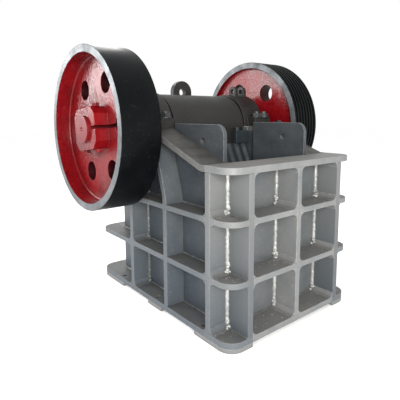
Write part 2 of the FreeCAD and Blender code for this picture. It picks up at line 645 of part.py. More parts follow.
def wheel(label, side):
    """Wheel with a rim, a web with round holes, an inner boss and a split clamp hub outside."""
    def along(text):
        return f"{side} * ({text})"

    body = doc.addObject("PartDesign::Body", label)
    body.Placement = FreeCAD.Placement(FreeCAD.Vector(), FreeCAD.Rotation(FreeCAD.Vector(1, 0, 0), 1))
    place(body, "0", "shaft_y", "shaft_z")
    body.setExpression("Placement.Rotation.Angle", formula(f"{TURNS[side]} * 1 deg"))
    section = sketch_on(body, "XZ_Plane", "0", f"{label}_section")
    outline = [
        (along(BOSS_END), "shaft_end"),
        (along(BOSS_END), "boss_tip"),
        (along(WEB_IN), "boss_root"),
        (along(WEB_IN), "rim_bore"),
        (along(WHEEL_IN), "rim_bore"),
        (along(WHEEL_IN), "wheel_radius"),
        (along(WHEEL_OUT), "wheel_radius"),
        (along(WHEEL_OUT), "rim_bore"),
        (along(WEB_OUT), "rim_bore"),
        (along(WEB_OUT), "shaft_end"),
    ]
    draw_outline(section, outline)
    turned = body.newObject("PartDesign::Revolution", f"{label}_turned")
    turned.Profile = section
    turned.ReferenceAxis = (section, ["H_Axis"])
    turned.Angle = 360

    low = mirrored(side, WEB_OUT, HUB_END)
    hub_sketch = sketch_on(body, "YZ_Plane", low[0], f"{label}_hub_outline")
    corners = []
    for y_side, z_side in ((1, -1), (1, 1), (-1, 1), (-1, -1)):
        near_y = (f"{y_side} * hub_half_y", f"{z_side} * (hub_half_z - hub_chamfer)")
        near_z = (f"{y_side} * (hub_half_y - hub_chamfer)", f"{z_side} * hub_half_z")
        corners += [near_z, near_y] if y_side * z_side < 0 else [near_y, near_z]
    draw_outline(hub_sketch, corners)
    hub = body.newObject("PartDesign::Pad", f"{label}_hub")
    hub.Profile = hub_sketch
    bind(hub, Length=f"{HUB_END} - {WEB_OUT}")

    first = f"-({WHEEL_OUT} + overrun)" if side < 0 else f"{BOSS_END} - overrun"

    def bore(sketch):
        draw_circle(sketch, "0", "0", "shaft_end")

    def slot(sketch):
        edge = "hub_slot / 2"
        far = "-web_circle"
        draw_outline(sketch, [(far, f"-{edge}"), ("0", f"-{edge}"), ("0", edge), (far, edge)])

    def web_hole(sketch):
        draw_circle(sketch, "-web_circle", "0", "web_hole")

    pocket(body, "YZ_Plane", first, f"{label}_bore", bore)
    pocket(body, "YZ_Plane", first, f"{label}_slot", slot)
    hole = pocket(body, "YZ_Plane", first, f"{label}_web_hole", web_hole)
    ring = body.newObject("PartDesign::PolarPattern", f"{label}_web_holes")
    ring.Originals = [hole]
    axis = next(item for item in body.Origin.OriginFeatures if item.Role == "X_Axis")
    ring.Axis = (axis, [""])
    ring.Angle = 360
    bind(ring, Occurrences="web_hole_count")
    body.Tip = ring
    return body


def make_grooves(body):
    """Belt grooves in the rim of the pulley."""
    doc.recompute()
    before = body.Shape.Volume
    section = sketch_on(body, "XZ_Plane", "0", "groove_section")
    outline = [
        (f"{GROOVE_X} - groove_mouth", "wheel_radius + overrun"),
        (f"{GROOVE_X} - groove_floor", "wheel_radius - groove_depth"),
        (f"{GROOVE_X} + groove_floor", "wheel_radius - groove_depth"),
        (f"{GROOVE_X} + groove_mouth", "wheel_radius + overrun"),
    ]
    draw_outline(section, outline)
    groove = body.newObject("PartDesign::Groove", "groove")
    groove.Profile = section
    groove.ReferenceAxis = (section, ["H_Axis"])
    groove.Angle = 360
    doc.recompute()
    row = body.newObject("PartDesign::LinearPattern", "groove_row")
    row.Originals = [groove]
    axis = next(item for item in body.Origin.OriginFeatures if item.Role == "X_Axis")
    row.Direction = (axis, [""])
    row.setExpression("Length", formula("(groove_count - 1) * groove_pitch"))
    bind(row, Occurrences="groove_count")
    body.Tip = row
    doc.recompute()
    if not before - body.Shape.Volume > 1:
        raise RuntimeError("the belt grooves cut nothing")


def make_wheels():
    """Flywheel on the left, grooved pulley on the right, and the bolts that clamp their hubs."""
    wheel("flywheel", -1)
    make_grooves(wheel("grooved_pulley", 1))
    for label, side in (("flywheel_clamp_bolts", -1), ("pulley_clamp_bolts", 1)):
        heads = []
        for row in (-1, 1):
            for z_side, z in ((1, "hub_half_z"), (-1, "-hub_half_z - clamp_head")):
                tag = f"{label}_{row}_{z_side}"
                x = f"{side} * {CLAMP_BOLT_X}"
                heads.append(nut(tag, "clamp_nut", "clamp_head", x, f"{row} * clamp_bolt_y", z))
        bolts = together(label, heads)
        bolts.Placement = FreeCAD.Placement(FreeCAD.Vector(), FreeCAD.Rotation(FreeCAD.Vector(1, 0, 0), 1))
        place(bolts, "0", "shaft_y", "shaft_z")
        bolts.setExpression("Placement.Rotation.Angle", formula(f"{TURNS[side]} * 1 deg"))


def make_jaws():
    """Fixed jaw plate on the front wall, and the cheek plates that line the chamber's sides."""
    half = f"{INNER_X} - cheek_thick - jaw_side_gap"
    block("fixed_jaw_plate", (f"-({half})", half), (WALL_BACK_Y, f"{WALL_BACK_Y} + jaw_thick"),
          ("jaw_bottom", "jaw_top"))
    outline = [
        (CHEEK_FRONT_Y, "jaw_bottom"),
        (CHEEK_TOE_Y, "jaw_bottom"),
        (CHEEK_BACK_Y, CHEEK_WAIST_Z),
        (CHEEK_BACK_Y, CHEEK_TOP),
        (CHEEK_FRONT_Y, CHEEK_TOP),
    ]
    for name, side in SIDES:
        span = mirrored(side, f"{INNER_X} - cheek_thick", INNER_X)
        hole = [(CHEEK_HOLE_Y, CHEEK_HOLE_Z, "cheek_hole")]
        panel(f"cheek_plate_{name}", "YZ_Plane", span, outline, [(4, "cheek_round")], hole)


def make_pitman():
    """Moving jaw: barrel on the eccentric, front plate, ribs and toe, with what is fixed to it."""
    span = (f"-{BARREL_HALF}", BARREL_HALF)
    centre = ("shaft_y", "shaft_z - throw")
    body_span = (f"-{BODY_HALF}", BODY_HALF)
    whole = rod("barrel_round", "barrel", span, centre, "x")
    front = [
        (f"{DIE_FOOT_Y} + die_depth", "die_foot_z"),
        (f"{DIE_FOOT_Y} + die_depth + body_depth", "die_foot_z"),
        (f"{DIE_HEAD_Y} + die_depth + body_depth", DIE_HEAD_Z),
        (f"{DIE_HEAD_Y} + die_depth + body_depth", f"{CLAMP_TOP} - ledge_cover"),
        (f"{DIE_HEAD_Y} + die_depth + ledge_cover", f"{CLAMP_TOP} - ledge_cover"),
        (f"{DIE_HEAD_Y} + die_depth", DIE_HEAD_Z),
    ]
    plate = panel("pitman_front", "YZ_Plane", body_span, front)
    ledge_depth = (LEDGE_Y, f"{DIE_HEAD_Y} + die_depth + body_depth / 2")
    ledge = block("pitman_ledge", span, ledge_depth, (DIE_HEAD_Z, CLAMP_TOP))
    back = [
        (f"{DIE_FOOT_Y} + die_depth + body_depth - overlap", "die_foot_z"),
        (TOE_Y, "die_foot_z"),
        (TOE_Y, "toe_top"),
        (HEEL_Y, HEEL_Z),
        ("shaft_y", "shaft_z - throw"),
        (f"{DIE_HEAD_Y} + die_depth + body_depth - overlap", DIE_HEAD_Z),
    ]
    ribs = []
    for order, middle in enumerate((f"-({BODY_HALF} - web_thick / 2)", "0", f"{BODY_HALF} - web_thick / 2")):
        width = (f"{middle} - web_thick / 2", f"{middle} + web_thick / 2")
        ribs.append(panel(f"pitman_rib_{order}", "YZ_Plane", width, back))
    toe = block("pitman_toe", body_span, (f"{DIE_FOOT_Y} + die_depth + body_depth - overlap", TOE_Y),
                ("die_foot_z", "toe_top"))
    joined = fuse("pitman_body", [whole, plate, ledge, toe] + ribs)
    bore_span = (f"-({BARREL_HALF} + overrun)", f"{BARREL_HALF} + overrun")
    bore = rod("pitman_bore", "eccentric + run_gap", bore_span, centre, "x")
    cut("pitman", joined, bore)

    die = [
        (DIE_FOOT_Y, "die_foot_z"),
        (f"{DIE_FOOT_Y} + die_depth", "die_foot_z"),
        (f"{DIE_HEAD_Y} + die_depth", DIE_HEAD_Z),
        (DIE_HEAD_Y, DIE_HEAD_Z),
    ]
    panel("moving_jaw_plate", "YZ_Plane", (f"-{DIE_HALF}", DIE_HALF), die)
    clamps = []
    for name, side in SIDES:
        width = mirrored(side, CLAMP_INNER, DIE_HALF)
        depth = (CLAMP_FRONT_Y, LEDGE_Y)
        clamps.append(block(f"clamp_block_{name}", width, depth, (DIE_HEAD_Z, CLAMP_TOP)))
    together("jaw_clamp_blocks", clamps)

    eye_outline = [
        ("-eye_half", "shaft_z"),
        ("eye_half", "shaft_z"),
        ("eye_half", f"{EYE_Z} + eye_half"),
        ("-eye_half", f"{EYE_Z} + eye_half"),
    ]
    thick = (f"{EYE_Y} - eye_thick / 2", f"{EYE_Y} + eye_thick / 2")
    rounds = [(2, "eye_round"), (3, "eye_round")]
    hole = [("0", EYE_Z, "eye_hole")]
    eye = panel("eye_plate", "XZ_Plane", thick, eye_outline, rounds, hole)
    under = rod("eye_foot", "barrel", ("-eye_half * 2", "eye_half * 2"), centre, "x")
    cut("lifting_eye", eye, under)


def make_toggle():
    """Toggle seat and plate behind the moving jaw, and the sprung tension rod under them."""
    seat_front = f"{REAR_INNER_Y} - toggle_seat_depth"
    across = (f"-{INNER_X}", INNER_X)
    block("toggle_seat", across, (seat_front, REAR_INNER_Y), ("toggle_seat_low", "toggle_seat_high"))
    outline = [
        (TOGGLE_FRONT_Y, "toggle_front_z"),
        (seat_front, "toggle_rear_z"),
        (seat_front, "toggle_rear_z + toggle_thick"),
        (TOGGLE_FRONT_Y, "toggle_front_z + toggle_thick"),
    ]
    panel("toggle_plate", "YZ_Plane", ("-toggle_half", "toggle_half"), outline)
    at = ("0", "rod_z")
    spring_end = "rear_wall_y + spring_long"
    coil = rod("spring_round", "spring_outer", ("rear_wall_y", spring_end), at, "y")
    hollow_span = ("rear_wall_y - overrun", f"{spring_end} + overrun")
    hollow = rod("spring_hollow", "spring_bore", hollow_span, at, "y")
    cut("tension_spring", coil, hollow)
    bar = rod("tension_bar", "rod_radius", (ROD_FRONT_Y, ROD_END_Y), at, "y")
    washer = rod("spring_washer", "washer_radius", (spring_end, f"{spring_end} + washer_thick"), at, "y")
    end_nut = doc.addObject("Part::Prism", "tension_nut")
    end_nut.Polygon = 6
    end_nut.Placement = FreeCAD.Placement(FreeCAD.Vector(), FreeCAD.Rotation(FreeCAD.Vector(1, 0, 0), -90))
    bind(end_nut, Circumradius="nut_radius", Height="nut_thick")
    place(end_nut, "0", f"{spring_end} + washer_thick", "rod_z")
    fuse("tension_rod", [bar, washer, end_nut])


NODES = [
    "side_plate_left", "side_plate_right", "front_wall", "rear_wall",
    "base_flange_left", "base_flange_right", "base_flange_front", "base_flange_rear", "foot_pads",
    "top_flange_front", "top_flange_left", "top_flange_right", "top_flange_rear",
    "front_rib", "rear_ribs", "side_ribs_left", "side_ribs_right",
    "shelves_front", "shelves_rear", "shelves_left", "shelves_right",
    "bearing_seat_left", "bearing_seat_right", "bearing_cap_left", "bearing_cap_right",
    "cap_nuts_left", "cap_nuts_right", "fixed_jaw_plate", "cheek_plate_left", "cheek_plate_right",
    "toggle_seat", "toggle_plate", "tension_spring", "tension_rod",
    "eccentric_shaft", "flywheel", "grooved_pulley", "flywheel_clamp_bolts", "pulley_clamp_bolts",
    "pitman", "moving_jaw_plate", "jaw_clamp_blocks", "lifting_eye",
]

for make in (make_walls, make_base, make_top_flange, make_ribs, make_shelves, make_bearings,
             make_shaft, make_wheels, make_jaws, make_pitman, make_toggle):
    make()
doc.recompute()

for item in doc.Objects:
    if "Invalid" in item.State or "Error" in item.State:
        raise RuntimeError(f"{item.Label} failed: {item.State}")
os.makedirs("parts", exist_ok=True)
for node in NODES:
    shape = doc.getObject(node).Shape
    if shape.isNull() or not shape.isValid():
        raise RuntimeError(f"{node} has no valid shape")
    shape.exportStep(f"parts/{node}.step")
    print(f"{node}: {len(shape.Solids)} solid(s), {shape.Volume / 1e6:.2f} litres")
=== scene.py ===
"""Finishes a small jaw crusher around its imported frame: eased plates, welds, castings and paint.

X runs along the shaft, -Y faces the fixed jaw's wall and +Z is up. Lengths are in metres.
"""
import json
import logging
import math
import random
from contextlib import contextmanager
from dataclasses import dataclass, field
from enum import Enum
from typing import Any, Callable, Iterator, Sequence

import bmesh
import bpy
from mathutils import Matrix, Vector

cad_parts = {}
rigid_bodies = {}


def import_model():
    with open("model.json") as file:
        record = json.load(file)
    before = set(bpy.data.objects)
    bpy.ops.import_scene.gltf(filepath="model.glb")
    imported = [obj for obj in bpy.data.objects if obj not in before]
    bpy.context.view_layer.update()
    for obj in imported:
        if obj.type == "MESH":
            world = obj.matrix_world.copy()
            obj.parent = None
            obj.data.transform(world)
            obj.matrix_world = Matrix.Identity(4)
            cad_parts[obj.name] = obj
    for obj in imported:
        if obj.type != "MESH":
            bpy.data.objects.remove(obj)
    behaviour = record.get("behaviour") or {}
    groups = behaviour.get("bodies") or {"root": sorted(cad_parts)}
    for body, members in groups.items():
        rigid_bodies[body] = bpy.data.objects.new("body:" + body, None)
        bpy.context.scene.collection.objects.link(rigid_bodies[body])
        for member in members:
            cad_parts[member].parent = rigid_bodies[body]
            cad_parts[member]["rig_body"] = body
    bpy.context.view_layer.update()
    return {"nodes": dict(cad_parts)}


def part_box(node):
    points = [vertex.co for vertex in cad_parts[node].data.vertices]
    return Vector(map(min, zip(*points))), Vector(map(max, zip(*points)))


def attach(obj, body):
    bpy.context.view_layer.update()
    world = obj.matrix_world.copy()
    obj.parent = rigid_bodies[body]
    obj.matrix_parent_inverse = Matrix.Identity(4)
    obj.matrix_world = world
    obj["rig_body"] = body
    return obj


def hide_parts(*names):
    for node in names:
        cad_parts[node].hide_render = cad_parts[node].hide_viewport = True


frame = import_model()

log = logging.getLogger("jaw_crusher")

MM = 0.001
MERGE_REACH = 0.01 * MM
# A face looks along an axis when its normal reaches at least this far along it.
SQUARE = 0.9
# Facets that turn less than this are one flat face of the CAD model.
WHOLE_ANGLE = math.radians(0.4)
Piece = bpy.types.Object
Material = bpy.types.Material
Node = bpy.types.Node
Socket = bpy.types.NodeSocket
Tree = bpy.types.NodeTree
Face = bmesh.types.BMFace
Shade = tuple[int, int, int]
Spot = tuple[float, float, float]
# What a test is given, for each kind of thing that it can pick.
HANDED: dict[str, Callable[[Any], Sequence[Any]]] = {
    "verts": lambda vert: (vert.co,),
    "edges": lambda edge: [vert.co for vert in edge.verts],
    "faces": lambda face: (face,),
}


def linear(value: int) -> float:
    """One colour channel in linear light, from its 0-255 display value."""
    share = value / 255
    return share / 12.92 if share <= 0.04045 else ((share + 0.055) / 1.055) ** 2.4


# ---- the bench


def clear_selection() -> None:
    """Leaves edit mode and selects nothing."""
    if bpy.context.mode != "OBJECT":
        bpy.ops.object.mode_set(mode="OBJECT")
    bpy.ops.object.select_all(action="DESELECT")


def activate(piece: Piece) -> None:
    """Makes a piece the only selected one, and the active one."""
    clear_selection()
    piece.select_set(True)
    bpy.context.view_layer.objects.active = piece


@contextmanager
def editing(piece: Piece, kind: str = "FACE") -> Iterator[None]:
    """Opens a piece in edit mode with everything deselected, and closes it again.

    Args:
        piece: the piece to edit.
        kind: what is picked, VERT, EDGE or FACE.
    """
    activate(piece)
    bpy.ops.object.mode_set(mode="EDIT")
    bpy.ops.mesh.select_mode(type=kind)
    bpy.ops.mesh.select_all(action="DESELECT")
    yield
    bpy.ops.object.mode_set(mode="OBJECT")


def pick(piece: Piece, kind: str, test: Callable[..., bool]) -> None:
    """Selects what passes a test, in edit mode.

    Args:
        piece: the piece in edit mode.
        kind: verts, edges or faces.
        test: is given a vertex's place, an edge's two ends, or a face.
    """
    mesh = bmesh.from_edit_mesh(piece.data)
    for part in getattr(mesh, kind):
        part.select_set(test(*HANDED[kind](part)))
    mesh.select_flush_mode()
    bmesh.update_edit_mesh(piece.data)


def face_outward() -> None:
    """Selects everything and turns its faces outward, in edit mode."""
    bpy.ops.mesh.select_all(action="SELECT")
    bpy.ops.mesh.normals_make_consistent(inside=False)


def apply_modifier(piece: Piece, kind: str, **settings: Any) -> None:
    """Adds a modifier with its settings and applies it."""
    activate(piece)
    modifier = piece.modifiers.new(kind.lower(), kind)
    for name, value in settings.items():
        setattr(modifier, name, value)
    bpy.ops.object.modifier_apply(modifier=modifier.name)


def settle(piece: Piece) -> None:
    """Puts a piece's place, turn and scale into its mesh."""
    activate(piece)
    bpy.ops.object.transform_apply(location=True, rotation=True, scale=True)


def ease_edges(piece: Piece, width: float, segments: int = 2, angle: float = 32) -> None:
    """Rounds a piece's sharp edges.

    Args:
        piece: the piece.
        width: width of the rounding.
        segments: facets across it.
        angle: edges sharper than this are rounded, in degrees.
    """
    apply_modifier(piece, "BEVEL", width=width, segments=segments, limit_method="ANGLE",
                   angle_limit=math.radians(angle), use_clamp_overlap=True, loop_slide=False)


def smooth_shading(piece: Piece, angle: float = 50) -> None:
    """Shades a piece smoothly, with its large faces flat."""
    activate(piece)
    bpy.ops.object.shade_smooth_by_angle(angle=math.radians(angle))
    apply_modifier(piece, "WEIGHTED_NORMAL", weight=100, keep_sharp=True)


def cad_copy(node: str) -> Piece:
    """Merged copy of a CAD node, ready to be finished.

    Args:
        node: the CAD node's name.

    Returns:
        The copy, whose flat faces are whole again.
    """
    piece = bpy.data.objects.new(f"{node}_finished", frame["nodes"][node].data.copy())
    bpy.context.scene.collection.objects.link(piece)
    activate(piece)
    if piece.data.has_custom_normals:
        bpy.ops.mesh.customdata_custom_splitnormals_clear()
    with editing(piece, "VERT"):
        bpy.ops.mesh.select_all(action="SELECT")
        bpy.ops.mesh.remove_doubles(threshold=MERGE_REACH)
        bpy.ops.mesh.dissolve_limited(angle_limit=WHOLE_ANGLE)
        face_outward()
    return piece


def join(name: str, pieces: Sequence[Piece]) -> Piece:
    """Joins pieces into one, with its normals outward.

    Args:
        name: the joined piece's name.
        pieces: what is joined.

    Returns:
        The joined piece.
    """
    clear_selection()
    for piece in pieces:
        piece.select_set(True)
    bpy.context.view_layer.objects.active = pieces[0]
    bpy.ops.object.join()
    joined = bpy.context.view_layer.objects.active
    joined.name = name
    with editing(joined):
        face_outward()
    return joined


def copied(pattern: Piece, matrix: Matrix) -> Piece:
    """Copy of a pattern piece with its own mesh, put in place by a matrix."""
    piece = bpy.data.objects.new(pattern.name, pattern.data.copy())
    bpy.context.scene.collection.objects.link(piece)
    piece.data.transform(matrix)
    return piece


def discard(piece: Piece) -> None:
    """Removes a pattern piece."""
    bpy.data.objects.remove(piece, do_unlink=True)


def dress(piece: Piece, material: Material) -> None:
    """Gives a piece one material."""
    piece.data.materials.clear()
    piece.data.materials.append(material)


def deliver(piece: Piece, material: Material, body: str, slot: str, *nodes: str) -> None:
    """Paints a finished piece and hands it to its body.

    Args:
        piece: the finished piece.
        material: its finish.
        body: the body that it moves with.
        slot: the record's material slot; not used.
        nodes: the CAD nodes that it stands for.
    """
    dress(piece, material)
    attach(piece, body)
    if nodes:
        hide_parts(*nodes)
    log.info("%s on %s: %d faces", piece.name, body, len(piece.data.polygons))


# ---- shader graphs


class Graph:
    """Short calls that add linked nodes to one shader tree."""

    def __init__(self, tree: Tree) -> None:
        """Takes the tree that it works on."""
        self.tree = tree

    def feed(self, socket: Socket, value: Any) -> None:
        """Links a socket, or sets a plain value."""
        if isinstance(value, Socket):
            self.tree.links.new(value, socket)
        else:
            socket.default_value = value

    def add(self, kind: str, inputs: dict[Any, Any] | None = None, **settings: Any) -> Node:
        """Adds a node.

        Args:
            kind: the node's type.
            inputs: what feeds its sockets, by name or number.
            settings: its own properties.

        Returns:
            The node.
        """
        node = self.tree.nodes.new(kind)
        for name, value in settings.items():
            setattr(node, name, value)
        self.fill(node, inputs or {})
        return node

    def fill(self, node: Node, inputs: dict[Any, Any]) -> None:
        """Feeds a node's sockets, by name or number."""
        for name, value in inputs.items():
            self.feed(node.inputs[name], value)

    def calc(self, operation: str, first: Any, second: Any = 0.0, clamp: bool = False) -> Socket:
        """Result of one Math node."""
        node = self.add("ShaderNodeMath", {0: first, 1: second}, operation=operation, use_clamp=clamp)
        return node.outputs[0]

    def times(self, first: Any, second: Any, clamp: bool = False) -> Socket:
        """Product of two values."""
        return self.calc("MULTIPLY", first, second, clamp)

    def split(self, vector: Socket) -> Sequence[Socket]:
        """X, Y and Z of a vector."""
        return self.add("ShaderNodeSeparateXYZ", {0: vector}).outputs

    def remap(self, value: Any, low: float, high: float, new_low: float = 0.0,
              new_high: float = 1.0) -> Socket:
        """Value stretched from one range to another, held inside it."""
        node = self.add("ShaderNodeMapRange", {0: value, 1: low, 2: high, 3: new_low, 4: new_high})
        return node.outputs[0]

    def blend(self, share: Any, first: Any, second: Any) -> Socket:
        """Colour between two colours, each a socket or a 0-255 shade."""
        ends = [(*map(linear, end), 1.0) if isinstance(end, tuple) else end for end in (first, second)]
        node = self.add("ShaderNodeMix", {0: share, 6: ends[0], 7: ends[1]}, data_type="RGBA")
        return node.outputs[2]

    def place(self, scale: Spot = (1, 1, 1), centre: Spot = (0, 0, 0)) -> Socket:
        """Object coordinates, centred and stretched."""
        coords = self.add("ShaderNodeTexCoord").outputs["Object"]
        shift = tuple(-c * s for c, s in zip(centre, scale))
        node = self.add("ShaderNodeMapping", {"Vector": coords, "Location": shift, "Scale": scale})
        return node.outputs[0]

    def noise(self, vector: Any, scale: Any, detail: float = 3.0, rough: float = 0.5) -> Socket:
        """Cloudy value from 0 to 1."""
        inputs = {"Vector": vector, "Scale": scale, "Detail": detail, "Roughness": rough}
        return self.add("ShaderNodeTexNoise", inputs).outputs[0]

    def bump(self, height: Any, strength: float, depth: float) -> Socket:
        """Normal from a height."""
        inputs = {"Height": height, "Strength": strength, "Distance": depth}
        return self.add("ShaderNodeBump", inputs).outputs[0]


class Effect(Enum):
    """Effects that several finishes share, each named after the method that builds it."""

    EDGE_WEAR = "edge_wear"
    CREVICE_DUST_AND_SHADE = "crevice_dust_and_shade"
    PATINA = "patina"
    SAND_CAST = "sand_cast"
    TURNED = "turned_rings"
    SOIL_AND_TOP_SHADE = "settled_soil"


class Effects:
    """Builds each shared effect once, as a node group."""

    def __init__(self) -> None:
        """Builds every group."""
        self.groups = {effect: getattr(self, effect.value)() for effect in Effect}

    def begin(self, effect: Effect, inputs: dict[str, float],
              outputs: Sequence[str]) -> tuple[Graph, Node, Node]:
        """Starts a group with its named sockets.

        Args:
            effect: which effect.
            inputs: input names and their first values.
            outputs: output names.

        Returns:
            The graph, its input node and its output node.
        """
        tree = bpy.data.node_groups.new(effect.value, "ShaderNodeTree")
        for name, value in inputs.items():
            socket = tree.interface.new_socket(name, in_out="INPUT", socket_type="NodeSocketFloat")
            socket.default_value = value
        for name in outputs:
            tree.interface.new_socket(name, in_out="OUTPUT", socket_type="NodeSocketFloat")
        graph = Graph(tree)
        return graph, graph.add("NodeGroupInput"), graph.add("NodeGroupOutput")

    def patchy(self, graph: Graph, given: Node, result: Node, value: Socket, detail: float,
               rough: float, *span: float) -> Tree:
        """Ends a group with a mask.

        Args:
            graph, given, result: what begin gave.
            value: where the effect lies.
            detail, rough: of the noise that breaks it up.
            span: how the noise is stretched.

        Returns:
            The group's tree.
        """
        patches = graph.remap(graph.noise(graph.place(), given.outputs["Breakup"], detail, rough), *span)
        broken = graph.times(value, patches)
        graph.feed(result.inputs["Mask"], graph.times(broken, given.outputs["Amount"], True))
        return graph.tree

    def edge_wear(self) -> Tree:
        """Mask of edges where handling has rubbed the paint."""
        inputs = {"Width": 4 * MM, "Breakup": 60.0, "Amount": 0.6}
        graph, given, result = self.begin(Effect.EDGE_WEAR, inputs, ["Mask"])
        soft = graph.add("ShaderNodeBevel", {"Radius": given.outputs["Width"]}, samples=4)
        true = graph.add("ShaderNodeNewGeometry").outputs["Normal"]
        dot = graph.add("ShaderNodeVectorMath", {0: soft.outputs[0], 1: true}, operation="DOT_PRODUCT")
        edge = graph.remap(graph.calc("SUBTRACT", 1.0, dot.outputs["Value"]), 0.004, 0.09)
        return self.patchy(graph, given, result, edge, 5, 0.65, 0.38, 0.62)

    def crevice_dust_and_shade(self) -> Tree:
        """Mask of inner corners where dust and grease gather and painted shade darkens them."""
        inputs = {"Reach": 0.05, "Breakup": 25.0, "Amount": 0.6}
        graph, given, result = self.begin(Effect.CREVICE_DUST_AND_SHADE, inputs, ["Mask"])
        # Ambient occlusion finds the inner corners; their darker tone is part dust and part painted shade.
        shut = graph.add("ShaderNodeAmbientOcclusion", {"Distance": given.outputs["Reach"]}, samples=4)
        corner = graph.remap(shut.outputs["AO"], 0.9, 0.25)
        return self.patchy(graph, given, result, corner, 5, 0.6, 0.3, 0.7, 0.35, 1.0)

    def settled_soil(self) -> Tree:
        """Mask of faces that look up, where soil lies in patches and painted shade darkens the tops."""
        graph, given, result = self.begin(Effect.SOIL_AND_TOP_SHADE, {"Breakup": 14.0, "Amount": 0.6}, ["Mask"])
        facing = graph.split(graph.add("ShaderNodeNewGeometry").outputs["Normal"])
        upward = graph.remap(facing[2], 0.6, 0.9)
        return self.patchy(graph, given, result, upward, 6, 0.6, 0.3, 0.6, 0.5, 1.0)

    def patina(self) -> Tree:
        """Uneven paint: broad patches, small specks, runs down the walls and a fine skin."""
        graph, given, result = self.begin(
            Effect.PATINA, {"Patch": 6.0, "Speck": 90.0}, ["Patches", "Specks", "Runs", "Skin"])
        place = graph.place()
        graph.fill(result, {
            "Patches": graph.remap(graph.noise(place, given.outputs["Patch"], 6, 0.62), 0.32, 0.68),
            "Specks": graph.remap(graph.noise(place, given.outputs["Speck"], 3, 0.6), 0.60, 0.74),
            "Runs": graph.remap(graph.noise(graph.place((30, 30, 1.6)), 1.0, 4, 0.6), 0.45, 0.75),
            "Skin": graph.noise(place, 260.0, 4, 0.6)})
        return graph.tree

    def sand_cast(self) -> Tree:
        """Height of a surface cast in sand."""
        graph, given, result = self.begin(Effect.SAND_CAST, {"Grain": 120.0}, ["Height"])
        place = graph.place()
        fine = graph.times(graph.noise(place, given.outputs["Grain"], 5, 0.7), 0.55)
        broad = graph.times(graph.noise(place, 22.0, 2, 0.5), 0.9)
        graph.feed(result.inputs["Height"], graph.calc("ADD", fine, broad))
        return graph.tree

    def turned_rings(self) -> Tree:
        """Height of the rings left by a lathe around the shaft axis."""
        inputs = {"Centre Y": 0.0, "Centre Z": 0.0, "Rings": 900.0}
        graph, given, result = self.begin(Effect.TURNED, inputs, ["Height"])
        parts = graph.split(graph.add("ShaderNodeTexCoord").outputs["Object"])
        along = graph.calc("SUBTRACT", parts[1], given.outputs["Centre Y"])
        above = graph.calc("SUBTRACT", parts[2], given.outputs["Centre Z"])
        radius = graph.calc("SQRT", graph.calc("ADD", graph.times(along, along), graph.times(above, above)))
        lane = graph.add("ShaderNodeCombineXYZ", {0: graph.times(radius, given.outputs["Rings"])})
        graph.feed(result.inputs["Height"], graph.noise(lane.outputs[0], 1.0, 3, 0.7))
        return graph.tree

    def use(self, graph: Graph, effect: Effect, **values: Any) -> Node:
        """Places a group in a material with its own values."""
        node = graph.add("ShaderNodeGroup", node_tree=self.groups[effect])
        for name, value in values.items():
            graph.feed(node.inputs[name.replace("_", " ")], value)
        return node


def new_material(name: str) -> tuple[Material, Graph, Node]:
    """Empty node material.

    Args:
        name: the material's name.

    Returns:
        The material, its graph and its shader.
    """
    material = bpy.data.materials.new(name)
    material.use_nodes = True
    graph = Graph(material.node_tree)
    return material, graph, material.node_tree.nodes["Principled BSDF"]


@dataclass(frozen=True)
class Finish:
    """What the finishes share: a name, and how a material is built from them."""

    name: str

    def build(self, effects: Effects) -> Material:
        """Makes the material.

        Args:
            effects: the shared effects.

        Returns:
            The material.
        """
        material, graph, shader = new_material(self.name)
        self.mix(graph, shader, effects)
        return material

    def mix(self, graph: Graph, shader: Node, effects: Effects) -> None:
        """Feeds the shader, in each finish's own way."""
        raise NotImplementedError


